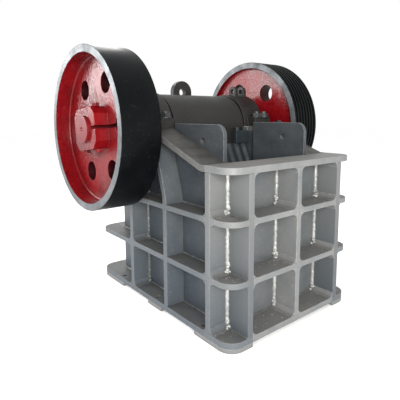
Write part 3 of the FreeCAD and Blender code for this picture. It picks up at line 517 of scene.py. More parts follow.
@dataclass(frozen=True)
class PaintedSteel(Finish):
    """Sprayed primer or paint on plate, with rubbed edges, and corners darkened by dust and painted shade.

    The paint turns to the lighter fore shade across the fade, a painted light for the lit front end, and to
    the darker, bluer low shade down the low rise.
    """

    light: Shade
    dark: Shade
    rubbed: Shade
    dust_and_shade: Shade
    roughness: float = 0.5
    wear: float = 0.6
    dirt: float = 0.5
    patch: float = 6.0
    skin: float = 0.25
    cast: float = 0.0
    cast_grain: float = 120.0
    coat: float = 0.0
    gloss: float = 0.5
    settled: float = 0.0
    soil: Shade = (84, 78, 70)
    fore: Shade | None = None
    fade: tuple[float, float] = (0.0, 0.0)
    low: Shade | None = None
    low_rise: tuple[float, float] = (0.05, 0.65)
    low_share: float = 0.75
    run_share: float = 0.30
    speck_share: float = 0.35

    def mix(self, graph: Graph, shader: Node, effects: Effects) -> None:
        """Lays the paint, its runs and specks, the soil and painted shade on its tops, the dust and painted
        shade in its corners, and the rubbed edges.
        """
        patina = effects.use(graph, Effect.PATINA, Patch=self.patch).outputs
        wear = effects.use(graph, Effect.EDGE_WEAR, Amount=self.wear).outputs["Mask"]
        dust_and_shade = effects.use(graph, Effect.CREVICE_DUST_AND_SHADE, Amount=self.dirt).outputs["Mask"]
        colour = graph.blend(patina["Patches"], self.dark, self.light)
        colour = graph.blend(graph.times(patina["Runs"], self.run_share), colour, self.dark)
        # Painted light: the paint lightens to the fore tone towards the lit front end; lower down it turns
        # darker and bluer.
        if self.fore:
            parts = graph.split(graph.place())
            colour = graph.blend(graph.remap(parts[1], *self.fade), self.fore, colour)
            downward = graph.remap(parts[2], *self.low_rise, self.low_share, 0.0)
            colour = graph.blend(downward, colour, self.low)
        colour = graph.blend(graph.times(patina["Specks"], self.speck_share), colour, self.rubbed)
        # Faces that look up take the soil tone, part settled soil and part painted shade on the tops.
        if self.settled:
            soil_and_shade_mask = effects.use(graph, Effect.SOIL_AND_TOP_SHADE, Amount=self.settled).outputs["Mask"]
            colour = graph.blend(soil_and_shade_mask, colour, self.soil)
        # Corners turn to the darker crevice tone, part dust and part painted shade; edges turn to the rubbed
        # tone.
        colour = graph.blend(wear, graph.blend(dust_and_shade, colour, self.dust_and_shade), self.rubbed)
        rough = graph.remap(patina["Patches"], 0, 1, self.roughness - 0.08, self.roughness + 0.08)
        height = graph.times(patina["Skin"], self.skin)
        if self.cast:
            cast = effects.use(graph, Effect.SAND_CAST, Grain=self.cast_grain).outputs["Height"]
            height = graph.calc("ADD", height, graph.times(cast, self.cast))
        graph.fill(shader, {
            "Base Color": colour,
            "Roughness": graph.calc("ADD", rough, graph.times(dust_and_shade, 0.2), True),
            "Metallic": graph.times(wear, 0.4),
            "Normal": graph.bump(height, 1.0, 1.2 * MM)})
        shader.inputs["Specular IOR Level"].default_value = self.gloss
        shader.inputs["Coat Weight"].default_value = self.coat
        shader.inputs["Coat Roughness"].default_value = 0.12


@dataclass(frozen=True)
class BareSteel(Finish):
    """Bare or oiled steel with stains, for bolts, welds, springs and liners."""

    bright: Shade
    dull: Shade
    roughness: float = 0.4
    metal: float = 0.8
    grain: float = 140.0
    relief: float = 0.4
    dirt: float = 0.5

    def mix(self, graph: Graph, shader: Node, effects: Effects) -> None:
        """Lays the stained steel, its corners dulled by dust and painted shade, and its grain."""
        patches = effects.use(graph, Effect.PATINA, Patch=18.0, Speck=160.0).outputs["Patches"]
        dust_and_shade = effects.use(graph, Effect.CREVICE_DUST_AND_SHADE, Reach=0.015, Amount=self.dirt).outputs["Mask"]
        cast = effects.use(graph, Effect.SAND_CAST, Grain=self.grain).outputs["Height"]
        colour = graph.blend(patches, self.dull, self.bright)
        # Corners turn dull and less metallic, part dust and part painted shade.
        graph.fill(shader, {
            "Base Color": graph.blend(dust_and_shade, colour, self.dull),
            "Roughness": graph.remap(patches, 0, 1, self.roughness + 0.12, self.roughness - 0.06),
            "Metallic": graph.times(graph.calc("SUBTRACT", 1.0, dust_and_shade), self.metal),
            "Normal": graph.bump(cast, self.relief, 1.5 * MM)})


@dataclass(frozen=True)
class TurnedSteel(Finish):
    """Machined face with fine rings around the shaft axis and a few stains."""

    centre: tuple[float, float]
    bright: Shade = (112, 115, 118)
    stained: Shade = (70, 73, 76)

    def mix(self, graph: Graph, shader: Node, effects: Effects) -> None:
        """Lays the bright steel, its stains and the rings."""
        rings = effects.use(graph, Effect.TURNED, Centre_Y=self.centre[0], Centre_Z=self.centre[1])
        patina = effects.use(graph, Effect.PATINA, Patch=9.0, Speck=70.0).outputs
        wear = effects.use(graph, Effect.EDGE_WEAR, Width=3 * MM, Amount=0.5).outputs["Mask"]
        colour = graph.blend(patina["Patches"], self.stained, self.bright)
        colour = graph.blend(graph.times(patina["Specks"], 0.4), colour, self.stained)
        graph.fill(shader, {
            "Base Color": graph.blend(wear, colour, self.bright),
            "Roughness": graph.remap(patina["Patches"], 0, 1, 0.62, 0.48),
            "Normal": graph.bump(rings.outputs["Height"], 0.35, 0.4 * MM)})
        shader.inputs["Metallic"].default_value = 0.6


@dataclass
class Paints:
    """Every finish of the machine, built once."""

    effects: Effects = field(default_factory=Effects)

    def painted(self, name: str, *shades: Shade, **values: Any) -> Material:
        """Paint from its light, dark and rubbed tones and the tone of its corners, darkened by dust and
        painted shade.
        """
        return PaintedSteel(name, *shades, **values).build(self.effects)

    def bare(self, name: str, *shades: Shade, **values: Any) -> Material:
        """Steel from its bright and dull shades."""
        return BareSteel(name, *shades, **values).build(self.effects)

    def __post_init__(self) -> None:
        """Builds the materials."""
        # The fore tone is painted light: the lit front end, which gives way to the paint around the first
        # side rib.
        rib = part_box("side_ribs_left")[0].y
        fade = (rib - 20 * MM, rib + 90 * MM)
        # The primer's tops darken where soil settles, partly as painted shade.
        self.primer = self.painted(
            "frame_primer", (112, 113, 112), (93, 96, 98), (156, 154, 148), (60, 60, 58),
            wear=0.75, patch=7.0, settled=0.4)
        # Painted shade: the front and rear walls, set back in their pockets, a darker copy of the primer.
        self.wall = self.painted(
            "wall_primer_painted_shade", (94, 96, 96), (76, 80, 83), (140, 139, 135), (54, 54, 53), dirt=0.55, patch=7.0)
        # Painted shade: the side ribs, shelves and base flanges, a darker copy of the primer, lighter at the
        # front end and darker and bluer lower down.
        self.flank_painted_shade = self.painted(
            "flank_primer_painted_shade", (80, 84, 86), (62, 68, 72), (134, 133, 129), (46, 47, 47),
            wear=0.7, dirt=0.6, patch=7.0, settled=0.5, fore=(104, 105, 104), low=(66, 74, 82), fade=fade)
        # Painted shade: the side plates, in the flywheel's shade, the darkest copy of the primer, lighter at
        # the front end and darker and bluer lower down.
        self.side = self.painted(
            "side_primer_painted_shade", (60, 66, 71), (45, 52, 58), (112, 113, 112), (36, 38, 39),
            dirt=0.6, patch=7.0, fore=(96, 98, 98), low=(58, 66, 74), fade=fade)
        # Painted shadow of the flywheel on the left and right top flanges, with soil settled on their tops.
        self.slope = self.painted(
            "slope_primer_shadow_and_soil", (92, 92, 90), (76, 77, 77), (146, 143, 137), (50, 49, 47),
            roughness=0.6, wear=0.8, patch=7.0, settled=0.95, gloss=0.3, soil=(46, 45, 42))
        # Bright weld beads for the lit walls; the dull seam steel also stands for the beads in the sides'
        # painted shade.
        self.bead = self.bare(
            "weld_beads", (172, 173, 170), (120, 122, 122),
            roughness=0.34, metal=0.3, grain=150.0, relief=1.0, dirt=0.05)
        self.seam = self.bare(
            "weld_seams", (98, 100, 99), (72, 75, 76),
            roughness=0.42, metal=0.2, grain=110.0, relief=0.8, dirt=0.3)
        self.bearing = self.painted(
            "bearing_paint", (34, 33, 32), (25, 25, 24), (74, 72, 68), (16, 16, 15),
            roughness=0.48, wear=0.5, cast=0.6, gloss=0.28)
        self.pitman = self.painted(
            "pitman_paint", (33, 32, 31), (25, 24, 24), (70, 68, 65), (15, 15, 14),
            wear=0.4, cast=0.7, gloss=0.28)
        self.liner = self.painted(
            "liner_steel", (60, 64, 67), (47, 52, 56), (108, 112, 113), (24, 26, 27),
            roughness=0.42, wear=0.9, patch=9.0)
        self.jaw = self.bare(
            "jaw_iron", (21, 31, 35), (12, 18, 21), roughness=0.62, metal=0.15, grain=70.0, relief=0.8)
        self.toggle = self.painted(
            "toggle_iron", (30, 38, 42), (20, 26, 30), (78, 82, 82), (15, 17, 18),
            roughness=0.6, cast=0.8, gloss=0.3)
        self.bolt = self.bare(
            "bolt_steel", (66, 69, 70), (32, 34, 35), roughness=0.42, metal=0.45, relief=0.15)
        self.spring = self.bare(
            "spring_steel", (96, 92, 88), (46, 44, 42), roughness=0.38, metal=0.7, relief=0.2)
        # Its corners darken to a near-black red, part dirt and part painted shade.
        self.wheel_red = self.painted(
            "wheel_red", (118, 6, 13), (84, 4, 9), (160, 42, 46), (26, 3, 5), roughness=0.27,
            wear=0.2, dirt=0.7, patch=5.0, cast=3.4, cast_grain=70.0, coat=0.1, gloss=0.25)
        # Painted shade: a near-black red for the walls of the web's holes.
        self.hole_red_painted_shade = self.painted(
            "hole_red_painted_shade", (44, 4, 8), (24, 3, 5), (110, 30, 34), (10, 2, 3),
            roughness=0.45, wear=0.3, dirt=0.8, patch=5.0, cast=1.2, gloss=0.15)
        self.rim_black = self.painted(
            "wheel_black", (9, 11, 12), (4, 6, 7), (44, 46, 46), (3, 3, 3),
            roughness=0.36, wear=0.15, dirt=0.3, patch=5.0, gloss=0.08)
        self.shaft_end = self.painted(
            "shaft_red", (122, 14, 20), (82, 8, 13), (112, 100, 96), (26, 6, 8),
            roughness=0.34, wear=0.5, cast=0.4, coat=0.15, gloss=0.3)


# ---- the studio


@dataclass
class Studio:
    """Pale floor, soft light and the camera."""

    eye: Spot = (-1.42705, -1.62889, 0.95431)
    yaw: float = -38.662
    pitch: float = -7.337
    roll: float = -0.285
    lens: float = 36.0
    sensor: float = 36.0
    shift: tuple[float, float] = (0.0023, -0.0828)
    floor_size: float = 40.0

    def build(self) -> None:
        """Sets up the whole studio."""
        self.lay_floor()
        self.light_up()
        self.set_camera()
        log.info("studio ready")

    def lay_floor(self) -> None:
        """Pale floor under the pads."""
        clear_selection()
        bpy.ops.mesh.primitive_plane_add(size=self.floor_size)
        floor = bpy.context.active_object
        floor.name = "floor"
        material, graph, shader = new_material("floor_paper")
        mottle = graph.noise(graph.place(), 3.0, 4, 0.5)
        graph.feed(shader.inputs["Base Color"], graph.blend(mottle, (253, 253, 253), (255, 255, 255)))
        shader.inputs["Roughness"].default_value = 0.8
        dress(floor, material)

    def soft_box(self, name: str, place: Spot, aim: Spot, size: float, power: float,
                 tint: Spot = (1.0, 1.0, 1.0)) -> None:
        """Large square lamp.

        Args:
            name: the lamp's name.
            place: where it hangs.
            aim: what it points at.
            size: edge length.
            power: in watts.
            tint: its colour.
        """
        lamp = bpy.data.lights.new(name, "AREA")
        lamp.size = size
        lamp.energy = power
        lamp.color = tint
        holder = bpy.data.objects.new(name, lamp)
        bpy.context.scene.collection.objects.link(holder)
        holder.location = place
        holder.rotation_euler = (Vector(aim) - Vector(place)).to_track_quat("-Z", "Y").to_euler()

    def light_up(self) -> None:
        """Key light from the left front, a glare lamp for the wheels' webs, and a white room."""
        middle = (0.0, 0.0, 0.6)
        self.soft_box("key", (-2.6, -3.8, 1.7), middle, 2.0, 330, (1.0, 0.98, 0.95))
        self.soft_box("back", (0.6, 3.6, 3.4), middle, 2.0, 60, (1.0, 0.99, 0.97))
        self.soft_box("near_glare", (-2.2, 3.3, 1.8), (-0.6, 0.2, 1.0), 1.0, 30)
        self.soft_box("far_glare", (-2.2, 2.3, 1.5), (0.5, 0.1, 1.1), 0.8, 46)
        world = bpy.data.worlds.new("room")
        world.use_nodes = True
        room = world.node_tree.nodes["Background"]
        room.inputs["Color"].default_value = (1.0, 1.0, 1.0, 1.0)
        room.inputs["Strength"].default_value = 1.0
        scene = bpy.context.scene
        scene.world = world
        scene.view_settings.view_transform = "Standard"

    def set_camera(self) -> None:
        """Camera at a standing viewer's height, off the left front corner."""
        turn = (Matrix.Rotation(math.radians(self.yaw), 4, "Z")
                @ Matrix.Rotation(math.radians(90 + self.pitch), 4, "X")
                @ Matrix.Rotation(math.radians(self.roll), 4, "Z"))
        data = bpy.data.cameras.new("camera")
        data.lens = self.lens
        data.sensor_width = self.sensor
        data.shift_x, data.shift_y = self.shift
        camera = bpy.data.objects.new("camera", data)
        bpy.context.scene.collection.objects.link(camera)
        camera.location = self.eye
        camera.rotation_euler = turn.to_euler()
        bpy.context.scene.camera = camera


# ---- sub-assemblies


@dataclass
class SubAssembly:
    """What the sub-assemblies share: the paints, and a finished copy of a CAD node."""

    paints: Paints

    def finish_node(self, node: str, material: Material, slot: str, edge: float, segments: int = 2,
                    shape: Callable[[Piece], None] | None = None) -> Piece:
        """Replaces a CAD node by a copy with eased edges.

        Args:
            node: the CAD node.
            material: its finish.
            slot: the record's material slot.
            edge: width of the eased edges.
            segments: facets across an eased edge.
            shape: extra modelling, done before the edges are eased.

        Returns:
            The finished piece.
        """
        piece = cad_copy(node)
        if shape:
            shape(piece)
        ease_edges(piece, edge, segments)
        smooth_shading(piece)
        deliver(piece, material, frame["nodes"][node]["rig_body"], slot, node)
        return piece


@dataclass(frozen=True)
class Fastener:
    """Washer or bolt head: a short cylinder with a border round its top."""

    sides: int
    radius: float
    depth: float
    border: float
    step: float
    edge: float

    def lay(self, name: str, spots: Sequence[tuple[float, float]], seat: float) -> Piece:
        """Models one and sets copies of it on a level seat.

        Args:
            name: the joined piece's name.
            spots: where the copies stand.
            seat: height of what they rest on.

        Returns:
            The copies, joined.
        """
        clear_selection()
        bpy.ops.mesh.primitive_cylinder_add(vertices=self.sides, radius=self.radius, depth=self.depth)
        pattern = bpy.context.active_object
        with editing(pattern):
            pick(pattern, "faces", lambda face: face.normal.z > SQUARE)
            bpy.ops.mesh.inset(thickness=self.border)
            bpy.ops.transform.translate(value=(0, 0, self.step))
        ease_edges(pattern, self.edge)
        height = seat + self.depth / 2
        copies = [copied(pattern, Matrix.Translation((x, y, height))) for x, y in spots]
        discard(pattern)
        piece = join(name, copies)
        smooth_shading(piece)
        return piece


class Wall(Enum):
    """The frame's walls that carry pockets."""

    FRONT = "front"
    REAR = "rear"
    LEFT = "left"
    RIGHT = "right"


# The walls across the machine, whose pockets lie side by side along X.
ENDS = (Wall.FRONT, Wall.REAR)


@dataclass(frozen=True)
class Pocket:
    """Space between two ribs and two shelves, or one that is open at an end."""

    wall: Wall
    span: tuple[float, float]
    rise: tuple[float, float]
    depth: tuple[float, float]
    closed: tuple[bool, bool]
    roofed: bool

    def at(self, across: float, away: float, height: float) -> Vector:
        """Point from its place along the wall, out from the wall, and up."""
        return Vector((across, away, height) if self.wall in ENDS else (away, across, height))

    def out(self) -> float:
        """Which way its mouth lies from the wall, 1 or -1."""
        return math.copysign(1, self.depth[1] - self.depth[0])

    def corners(self) -> list[tuple[float, int]]:
        """Its closed ends: the place along the wall, and which way is inward."""
        ends = zip(self.span, (1, -1), self.closed)
        return [(across, inward) for across, inward, closed in ends if closed]

    def levels(self) -> list[tuple[float, int]]:
        """Its floor, and its roof if it has one: the height, and which way is inward."""
        return list(zip(self.rise, (1, -1)))[:2 if self.roofed else 1]


@dataclass(frozen=True)
class Spatter:
    """Blobs heaped at a weld bead's foot and drops strewn over the shelf, with sizes in millimetres."""

    blobs: int = 14
    blob_size: tuple[float, float] = (12, 22)
    blob_tall: float = 1.4
    heap_height: float = 46
    heap_reach: float = 22
    heap_tip: float = 50
    drops: int = 14
    drop_size: tuple[float, float] = (2, 6)
    drop_tall: float = 0.8
    narrowest: float = 0.7
    strewn: float = 60
    nearest: float = 6
    farthest: float = 120
    margin: float = 8

    def lay(self, pocket: Pocket, patterns: Sequence[Piece], dice: random.Random) -> list[Piece]:
        """Lays the blobs and drops of one pocket.

        Args:
            pocket: the pocket.
            patterns: drops about one unit across.
            dice: for their sizes and places.

        Returns:
            The placed blobs and drops.
        """
        placed = []
        inside, mouth = pocket.depth
        for across, inward in pocket.corners():
            for order in range(self.blobs + self.drops):
                big = order < self.blobs
                size = dice.uniform(*(self.blob_size if big else self.drop_size))
                if big:
                    climb = dice.uniform(0, self.heap_height)
                    near = self.heap_reach * (1 - climb / self.heap_tip)
                    away = dice.uniform(0, near)
                    deep = dice.uniform(0, near)
                else:
                    climb = 0.0
                    away = min(abs(dice.gauss(0, self.strewn)) + self.nearest, self.farthest)
                    deep = dice.uniform(self.margin, abs(mouth - inside) / MM - self.margin)
                spot = pocket.at(across + inward * away * MM, inside + pocket.out() * deep * MM,
                                 pocket.rise[0] + climb * MM)
                turn = Matrix.Rotation(dice.uniform(0, math.tau), 4, "Z")
                tall = size * (self.blob_tall if big else self.drop_tall)
                wide = size * MM * dice.uniform(self.narrowest, 1)
                scale = Matrix.Diagonal((size * MM, wide, tall * MM, 1))
                placed.append(copied(dice.choice(patterns), Matrix.Translation(spot) @ turn @ scale))
        return placed


@dataclass
class FrameWeldment(SubAssembly):
    """Welded plate frame: plates with dressed edges, corner fillets, weld beads and spatter."""

    plate_edge: float = 2.2 * MM
    fillet: float = 24 * MM
    fillet_back: float = 2 * MM
    fillet_cut: float = 0.97
    fillet_profile: float = 0.1
    fillet_smooth: float = 40
    bead_radius: float = 10.5 * MM
    bead_long: float = 225 * MM
    bead_rings: int = 34
    swell: tuple[float, float] = (0.86, 1.12)
    end_swell: float = 0.7
    drift_mm: float = 1.2
    bead_smooth: float = 80
    thin_bead: float = 4.5 * MM
    proud: float = 0.3
    shelf_thick: float = 25 * MM
    corner_bay: tuple[bool, bool] = (False, True)
    seed: int = 7

    def build(self) -> None:
        """Finishes every plate and welds them up."""
        paints = self.paints
        # Darker copies of the primer paint shade on the sides, flanks and walls, and the flywheel's shadow
        # with soil on the left and right top flanges.
        plates = {
            ("side_plate",): paints.side,
            ("front_wall", "rear_wall"): paints.wall,
            ("side_ribs", "shelves_left", "shelves_right", "base_flange_left",
             "base_flange_right"): paints.flank_painted_shade,
            ("top_flange_left", "top_flange_right"): paints.slope,
            ("top_flange_front", "top_flange_rear", "front_rib", "rear_ribs", "shelves_front",
             "shelves_rear", "base_flange_front", "base_flange_rear", "foot_pads"): paints.primer,
        }
        for starts, paint in plates.items():
            for node in sorted(name for name in frame["nodes"] if name.startswith(starts)):
                self.finish_node(node, paint, "frame_primer", self.plate_edge)
        self.weld()

    def pockets(self) -> list[Pocket]:
        """Every pocket of the frame, measured from its plates.

        Returns:
            The pockets.
        """
        low_shelf, high_shelf = (corner.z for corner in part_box("shelves_front"))
        rows = ((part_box("base_flange_front")[1].z, low_shelf),
                (low_shelf + self.shelf_thick, high_shelf - self.shelf_thick),
                (high_shelf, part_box("top_flange_front")[0].z))
        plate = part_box("side_plate_right")
        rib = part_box("front_rib")
        width = rib[1].x - rib[0].x
        front = (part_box("front_wall")[0].y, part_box("base_flange_front")[0].y)
        rear = (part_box("rear_wall")[1].y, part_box("base_flange_rear")[1].y)
        low, high = (corner.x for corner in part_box("rear_ribs"))
        fore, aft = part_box("side_ribs_right")
        reach = aft.x
        bays = [(Wall.FRONT, (-plate[0].x, rib[0].x), front, (True, True)),
                (Wall.FRONT, (rib[1].x, plate[0].x), front, (True, True)),
                (Wall.REAR, (-reach, low), rear, (False, True)),
                (Wall.REAR, (low + width, high - width), rear, (True, True)),
                (Wall.REAR, (high, reach), rear, (True, False))]
        for wall, sign in ((Wall.LEFT, -1), (Wall.RIGHT, 1)):
            depth = (sign * plate[1].x, sign * reach)
            bays += [(wall, (front[1], fore.y), depth, (False, True)),
                     (wall, (fore.y + width, aft.y - width), depth, (True, True)),
                     (wall, (aft.y, rear[1]), depth, (True, False))]
        return [Pocket(wall, span, rise, depth, closed, wall in ENDS or rise is not rows[-1])
                for rise in rows for wall, span, depth, closed in bays]

    def weld(self) -> None:
        """Fillets, beads and spatter in every pocket."""
        self.dice = random.Random(self.seed)
        self.corner = self.fillet_pattern()
        self.beads = [self.bead_pattern(self.seed + k) for k in range(3)]
        lumps = [self.lump_pattern(self.seed + k) for k in range(3)]
        spatter = Spatter()
        pockets = self.pockets()
        for wall in Wall:
            # The side walls' fillets take the flank paint, a darker copy of the primer as painted shade.
            plate = self.paints.primer if wall in ENDS else self.paints.flank_painted_shade
            looks = {"corner_fillets": (self.fillet_smooth, plate),
                     "weld_beads": (self.bead_smooth, self.paints.bead),
                     "shaded_beads": (self.bead_smooth, self.paints.seam),
                     "weld_seams": (self.bead_smooth, self.paints.seam)}
            made: dict[str, list[Piece]] = {name: [] for name in looks}
            for pocket in (found for found in pockets if found.wall is wall):
                made["corner_fillets"] += self.corner_fillets(pocket)
                # Upright beads on the front and rear walls and in the sides' lit front bays are bright; the
                # rest lie in the sides' painted shade and take the dull seam steel.
                bright = wall in ENDS or pocket.closed == self.corner_bay
                upright = made["weld_beads" if bright else "shaded_beads"]
                upright += self.upright_beads(pocket)
                upright += spatter.lay(pocket, lumps, self.dice)
                made["weld_seams"] += self.shelf_seams(pocket)
            for name, (angle, paint) in looks.items():
                if made[name]:
                    whole = join(f"{name}_{wall.value}", made[name])
                    smooth_shading(whole, angle)
                    deliver(whole, paint, "frame", "frame_primer")
        for pattern in [self.corner, *self.beads, *lumps]:
            discard(pattern)

    def fillet_pattern(self) -> Piece:
        """Hollow-faced fillet of unit length along Z, its corner on the axis.

        Returns:
            The pattern piece.
        """
        clear_selection()
        bpy.ops.mesh.primitive_cube_add(size=1, location=(self.fillet / 2, self.fillet / 2, 0.5))
        piece = bpy.context.active_object
        piece.scale = (self.fillet, self.fillet, 1)
        settle(piece)
        far = self.fillet - MERGE_REACH
        with editing(piece, "EDGE"):
            pick(piece, "edges", lambda a, b: min(a.x, b.x, a.y, b.y) > far)
            bpy.ops.mesh.bevel(offset=self.fillet * self.fillet_cut, segments=6, profile=self.fillet_profile)
        piece.name = "fillet"
        return piece

    def bead_pattern(self, seed: int) -> Piece:
        """Rippled weld bead of unit length along Z.

        Args:
            seed: of its ripples.

        Returns:
            The pattern piece.
        """
        dice = random.Random(seed)
        clear_selection()
        bpy.ops.mesh.primitive_cylinder_add(
            vertices=10, radius=self.bead_radius, depth=1, location=(0, 0, 0.5))
        piece = bpy.context.active_object
        settle(piece)
        with editing(piece, "EDGE"):
            pick(piece, "edges", lambda a, b: abs(a.z - b.z) > 0.5)
            bpy.ops.mesh.subdivide(number_cuts=self.bead_rings - 1)
        with editing(piece, "VERT"):
            for ring in range(self.bead_rings + 1):
                height = ring / self.bead_rings
                pick(piece, "verts", lambda v, h=height: abs(v.z - h) < 0.3 / self.bead_rings)
                swell = dice.uniform(*self.swell) * (self.end_swell if ring in (0, self.bead_rings) else 1)
                bpy.ops.transform.resize(value=(swell, swell, 1), center_override=(0, 0, height))
                sway = [dice.uniform(-self.drift_mm, self.drift_mm) * MM for _ in "xy"]
                bpy.ops.transform.translate(value=(*sway, 0))
        piece.name = "bead"
        return piece

    def lump_pattern(self, seed: int) -> Piece:
        """Drop of spatter, flattened on its plate, about one unit across.

        Args:
            seed: of its shape.

        Returns:
            The pattern piece.
        """
        dice = random.Random(seed)
        clear_selection()
        bpy.ops.mesh.primitive_ico_sphere_add(subdivisions=2, radius=0.5)
        piece = bpy.context.active_object
        with editing(piece, "VERT"):
            for _ in range(5):
                side = Vector((dice.uniform(-1, 1), dice.uniform(-1, 1), dice.uniform(-0.2, 1))).normalized()
                pick(piece, "verts", lambda v, s=side: v.dot(s) > 0.32)
                bpy.ops.transform.translate(value=side * dice.uniform(-0.12, 0.16))
            bpy.ops.mesh.select_all(action="SELECT")
            bpy.ops.transform.resize(value=(1, 1, 0.6), center_override=(0, 0, 0))
        piece.name = "lump"
        return piece

    def corner_fillets(self, pocket: Pocket) -> list[Piece]:
        """Fillets along a pocket's inner corners, from the wall to its mouth.

        Args:
            pocket: the pocket.

        Returns:
            The placed fillets.
        """
        placed = []
        inside, mouth = pocket.depth
        mouth -= pocket.out() * self.fillet_back
        for across, inward in pocket.corners():
            for height, upward in pocket.levels():
                start = pocket.at(across, inside, height)
                along = pocket.at(across, mouth, height) - start
                axes = (pocket.at(inward, 0, 0), Vector((0, 0, upward)), along)
                turn = Matrix(axes).transposed().to_4x4()
                placed.append(copied(self.corner, Matrix.Translation(start) @ turn))
        return placed

    def run(self, start: Vector, end: Vector, radius: float) -> Piece:
        """One weld bead between two points, with its mean radius."""
        along = end - start
        turn = along.to_track_quat("Z", "Y").to_matrix().to_4x4()
        share = radius / self.bead_radius
        size = Matrix.Diagonal((share, share, along.length, 1))
        return copied(self.dice.choice(self.beads), Matrix.Translation(start) @ turn @ size)

    def upright_beads(self, pocket: Pocket) -> list[Piece]:
        """Heavy beads up a pocket's inner corners."""
        if not pocket.roofed and pocket.closed != self.corner_bay:
            return []
        away = pocket.depth[0] + pocket.out() * self.thin_bead * self.proud
        return [self.run(*(pocket.at(across, away, height) for height in pocket.rise), self.bead_radius)
                for across, _ in pocket.corners()]

    def shelf_seams(self, pocket: Pocket) -> list[Piece]:
        """Thin beads where a pocket's wall meets its shelves.

        Args:
            pocket: the pocket.

        Returns:
            The placed beads.
        """
        placed = []
        away = pocket.depth[0] + pocket.out() * self.thin_bead * self.proud
        left, right = pocket.span
        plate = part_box("side_plate_right")[1]
        if pocket.wall in ENDS:
            left, right = max(left, -plate.x), min(right, plate.x)
        else:
            right = min(right, plate.y)
        parts = max(1, round((right - left) / self.bead_long))
        marks = [left + (right - left) * part / parts for part in range(parts + 1)]
        for height, upward in pocket.levels():
            level = height + upward * self.thin_bead * self.proud
            for pair in zip(marks, marks[1:]):
                placed.append(self.run(*(pocket.at(mark, away, level) for mark in pair), self.thin_bead))
        return placed


@dataclass
class Bearings(SubAssembly):
    """Bearing seats and caps with their studs, nuts and washers."""

    seat_edge: float = 2.5 * MM
    casting_edge: float = 4 * MM
    nut_edge: float = 1.2 * MM
    nut_corner: float = 28 * MM
    washer: Fastener = Fastener(40, 33 * MM, 4 * MM, border=33 * MM * 0.42, step=-1 * MM, edge=0.8 * MM)

    def build(self) -> None:
        """Finishes both bearings."""
        paints = self.paints
        for side in ("left", "right"):
            self.finish_node(f"bearing_seat_{side}", paints.primer, "bearing_paint", self.seat_edge)
            self.finish_node(f"bearing_cap_{side}", paints.bearing, "bearing_paint", self.casting_edge, 3)
            self.finish_node(f"cap_nuts_{side}", paints.bolt, "bolt_steel", self.nut_edge)
            self.lay_washers(side)

    def lay_washers(self, side: str) -> None:
        """Thick washers under the cap nuts of the left or right bearing."""
        low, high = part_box(f"cap_nuts_{side}")
        flat = self.nut_corner * math.cos(math.pi / 6)
        spots = [(x, y) for x in (low.x + self.nut_corner, high.x - self.nut_corner)
                 for y in (low.y + flat, high.y - flat)]
        piece = self.washer.lay(f"cap_washers_{side}", spots, low.z)
        deliver(piece, self.paints.bolt, "frame", "bolt_steel")


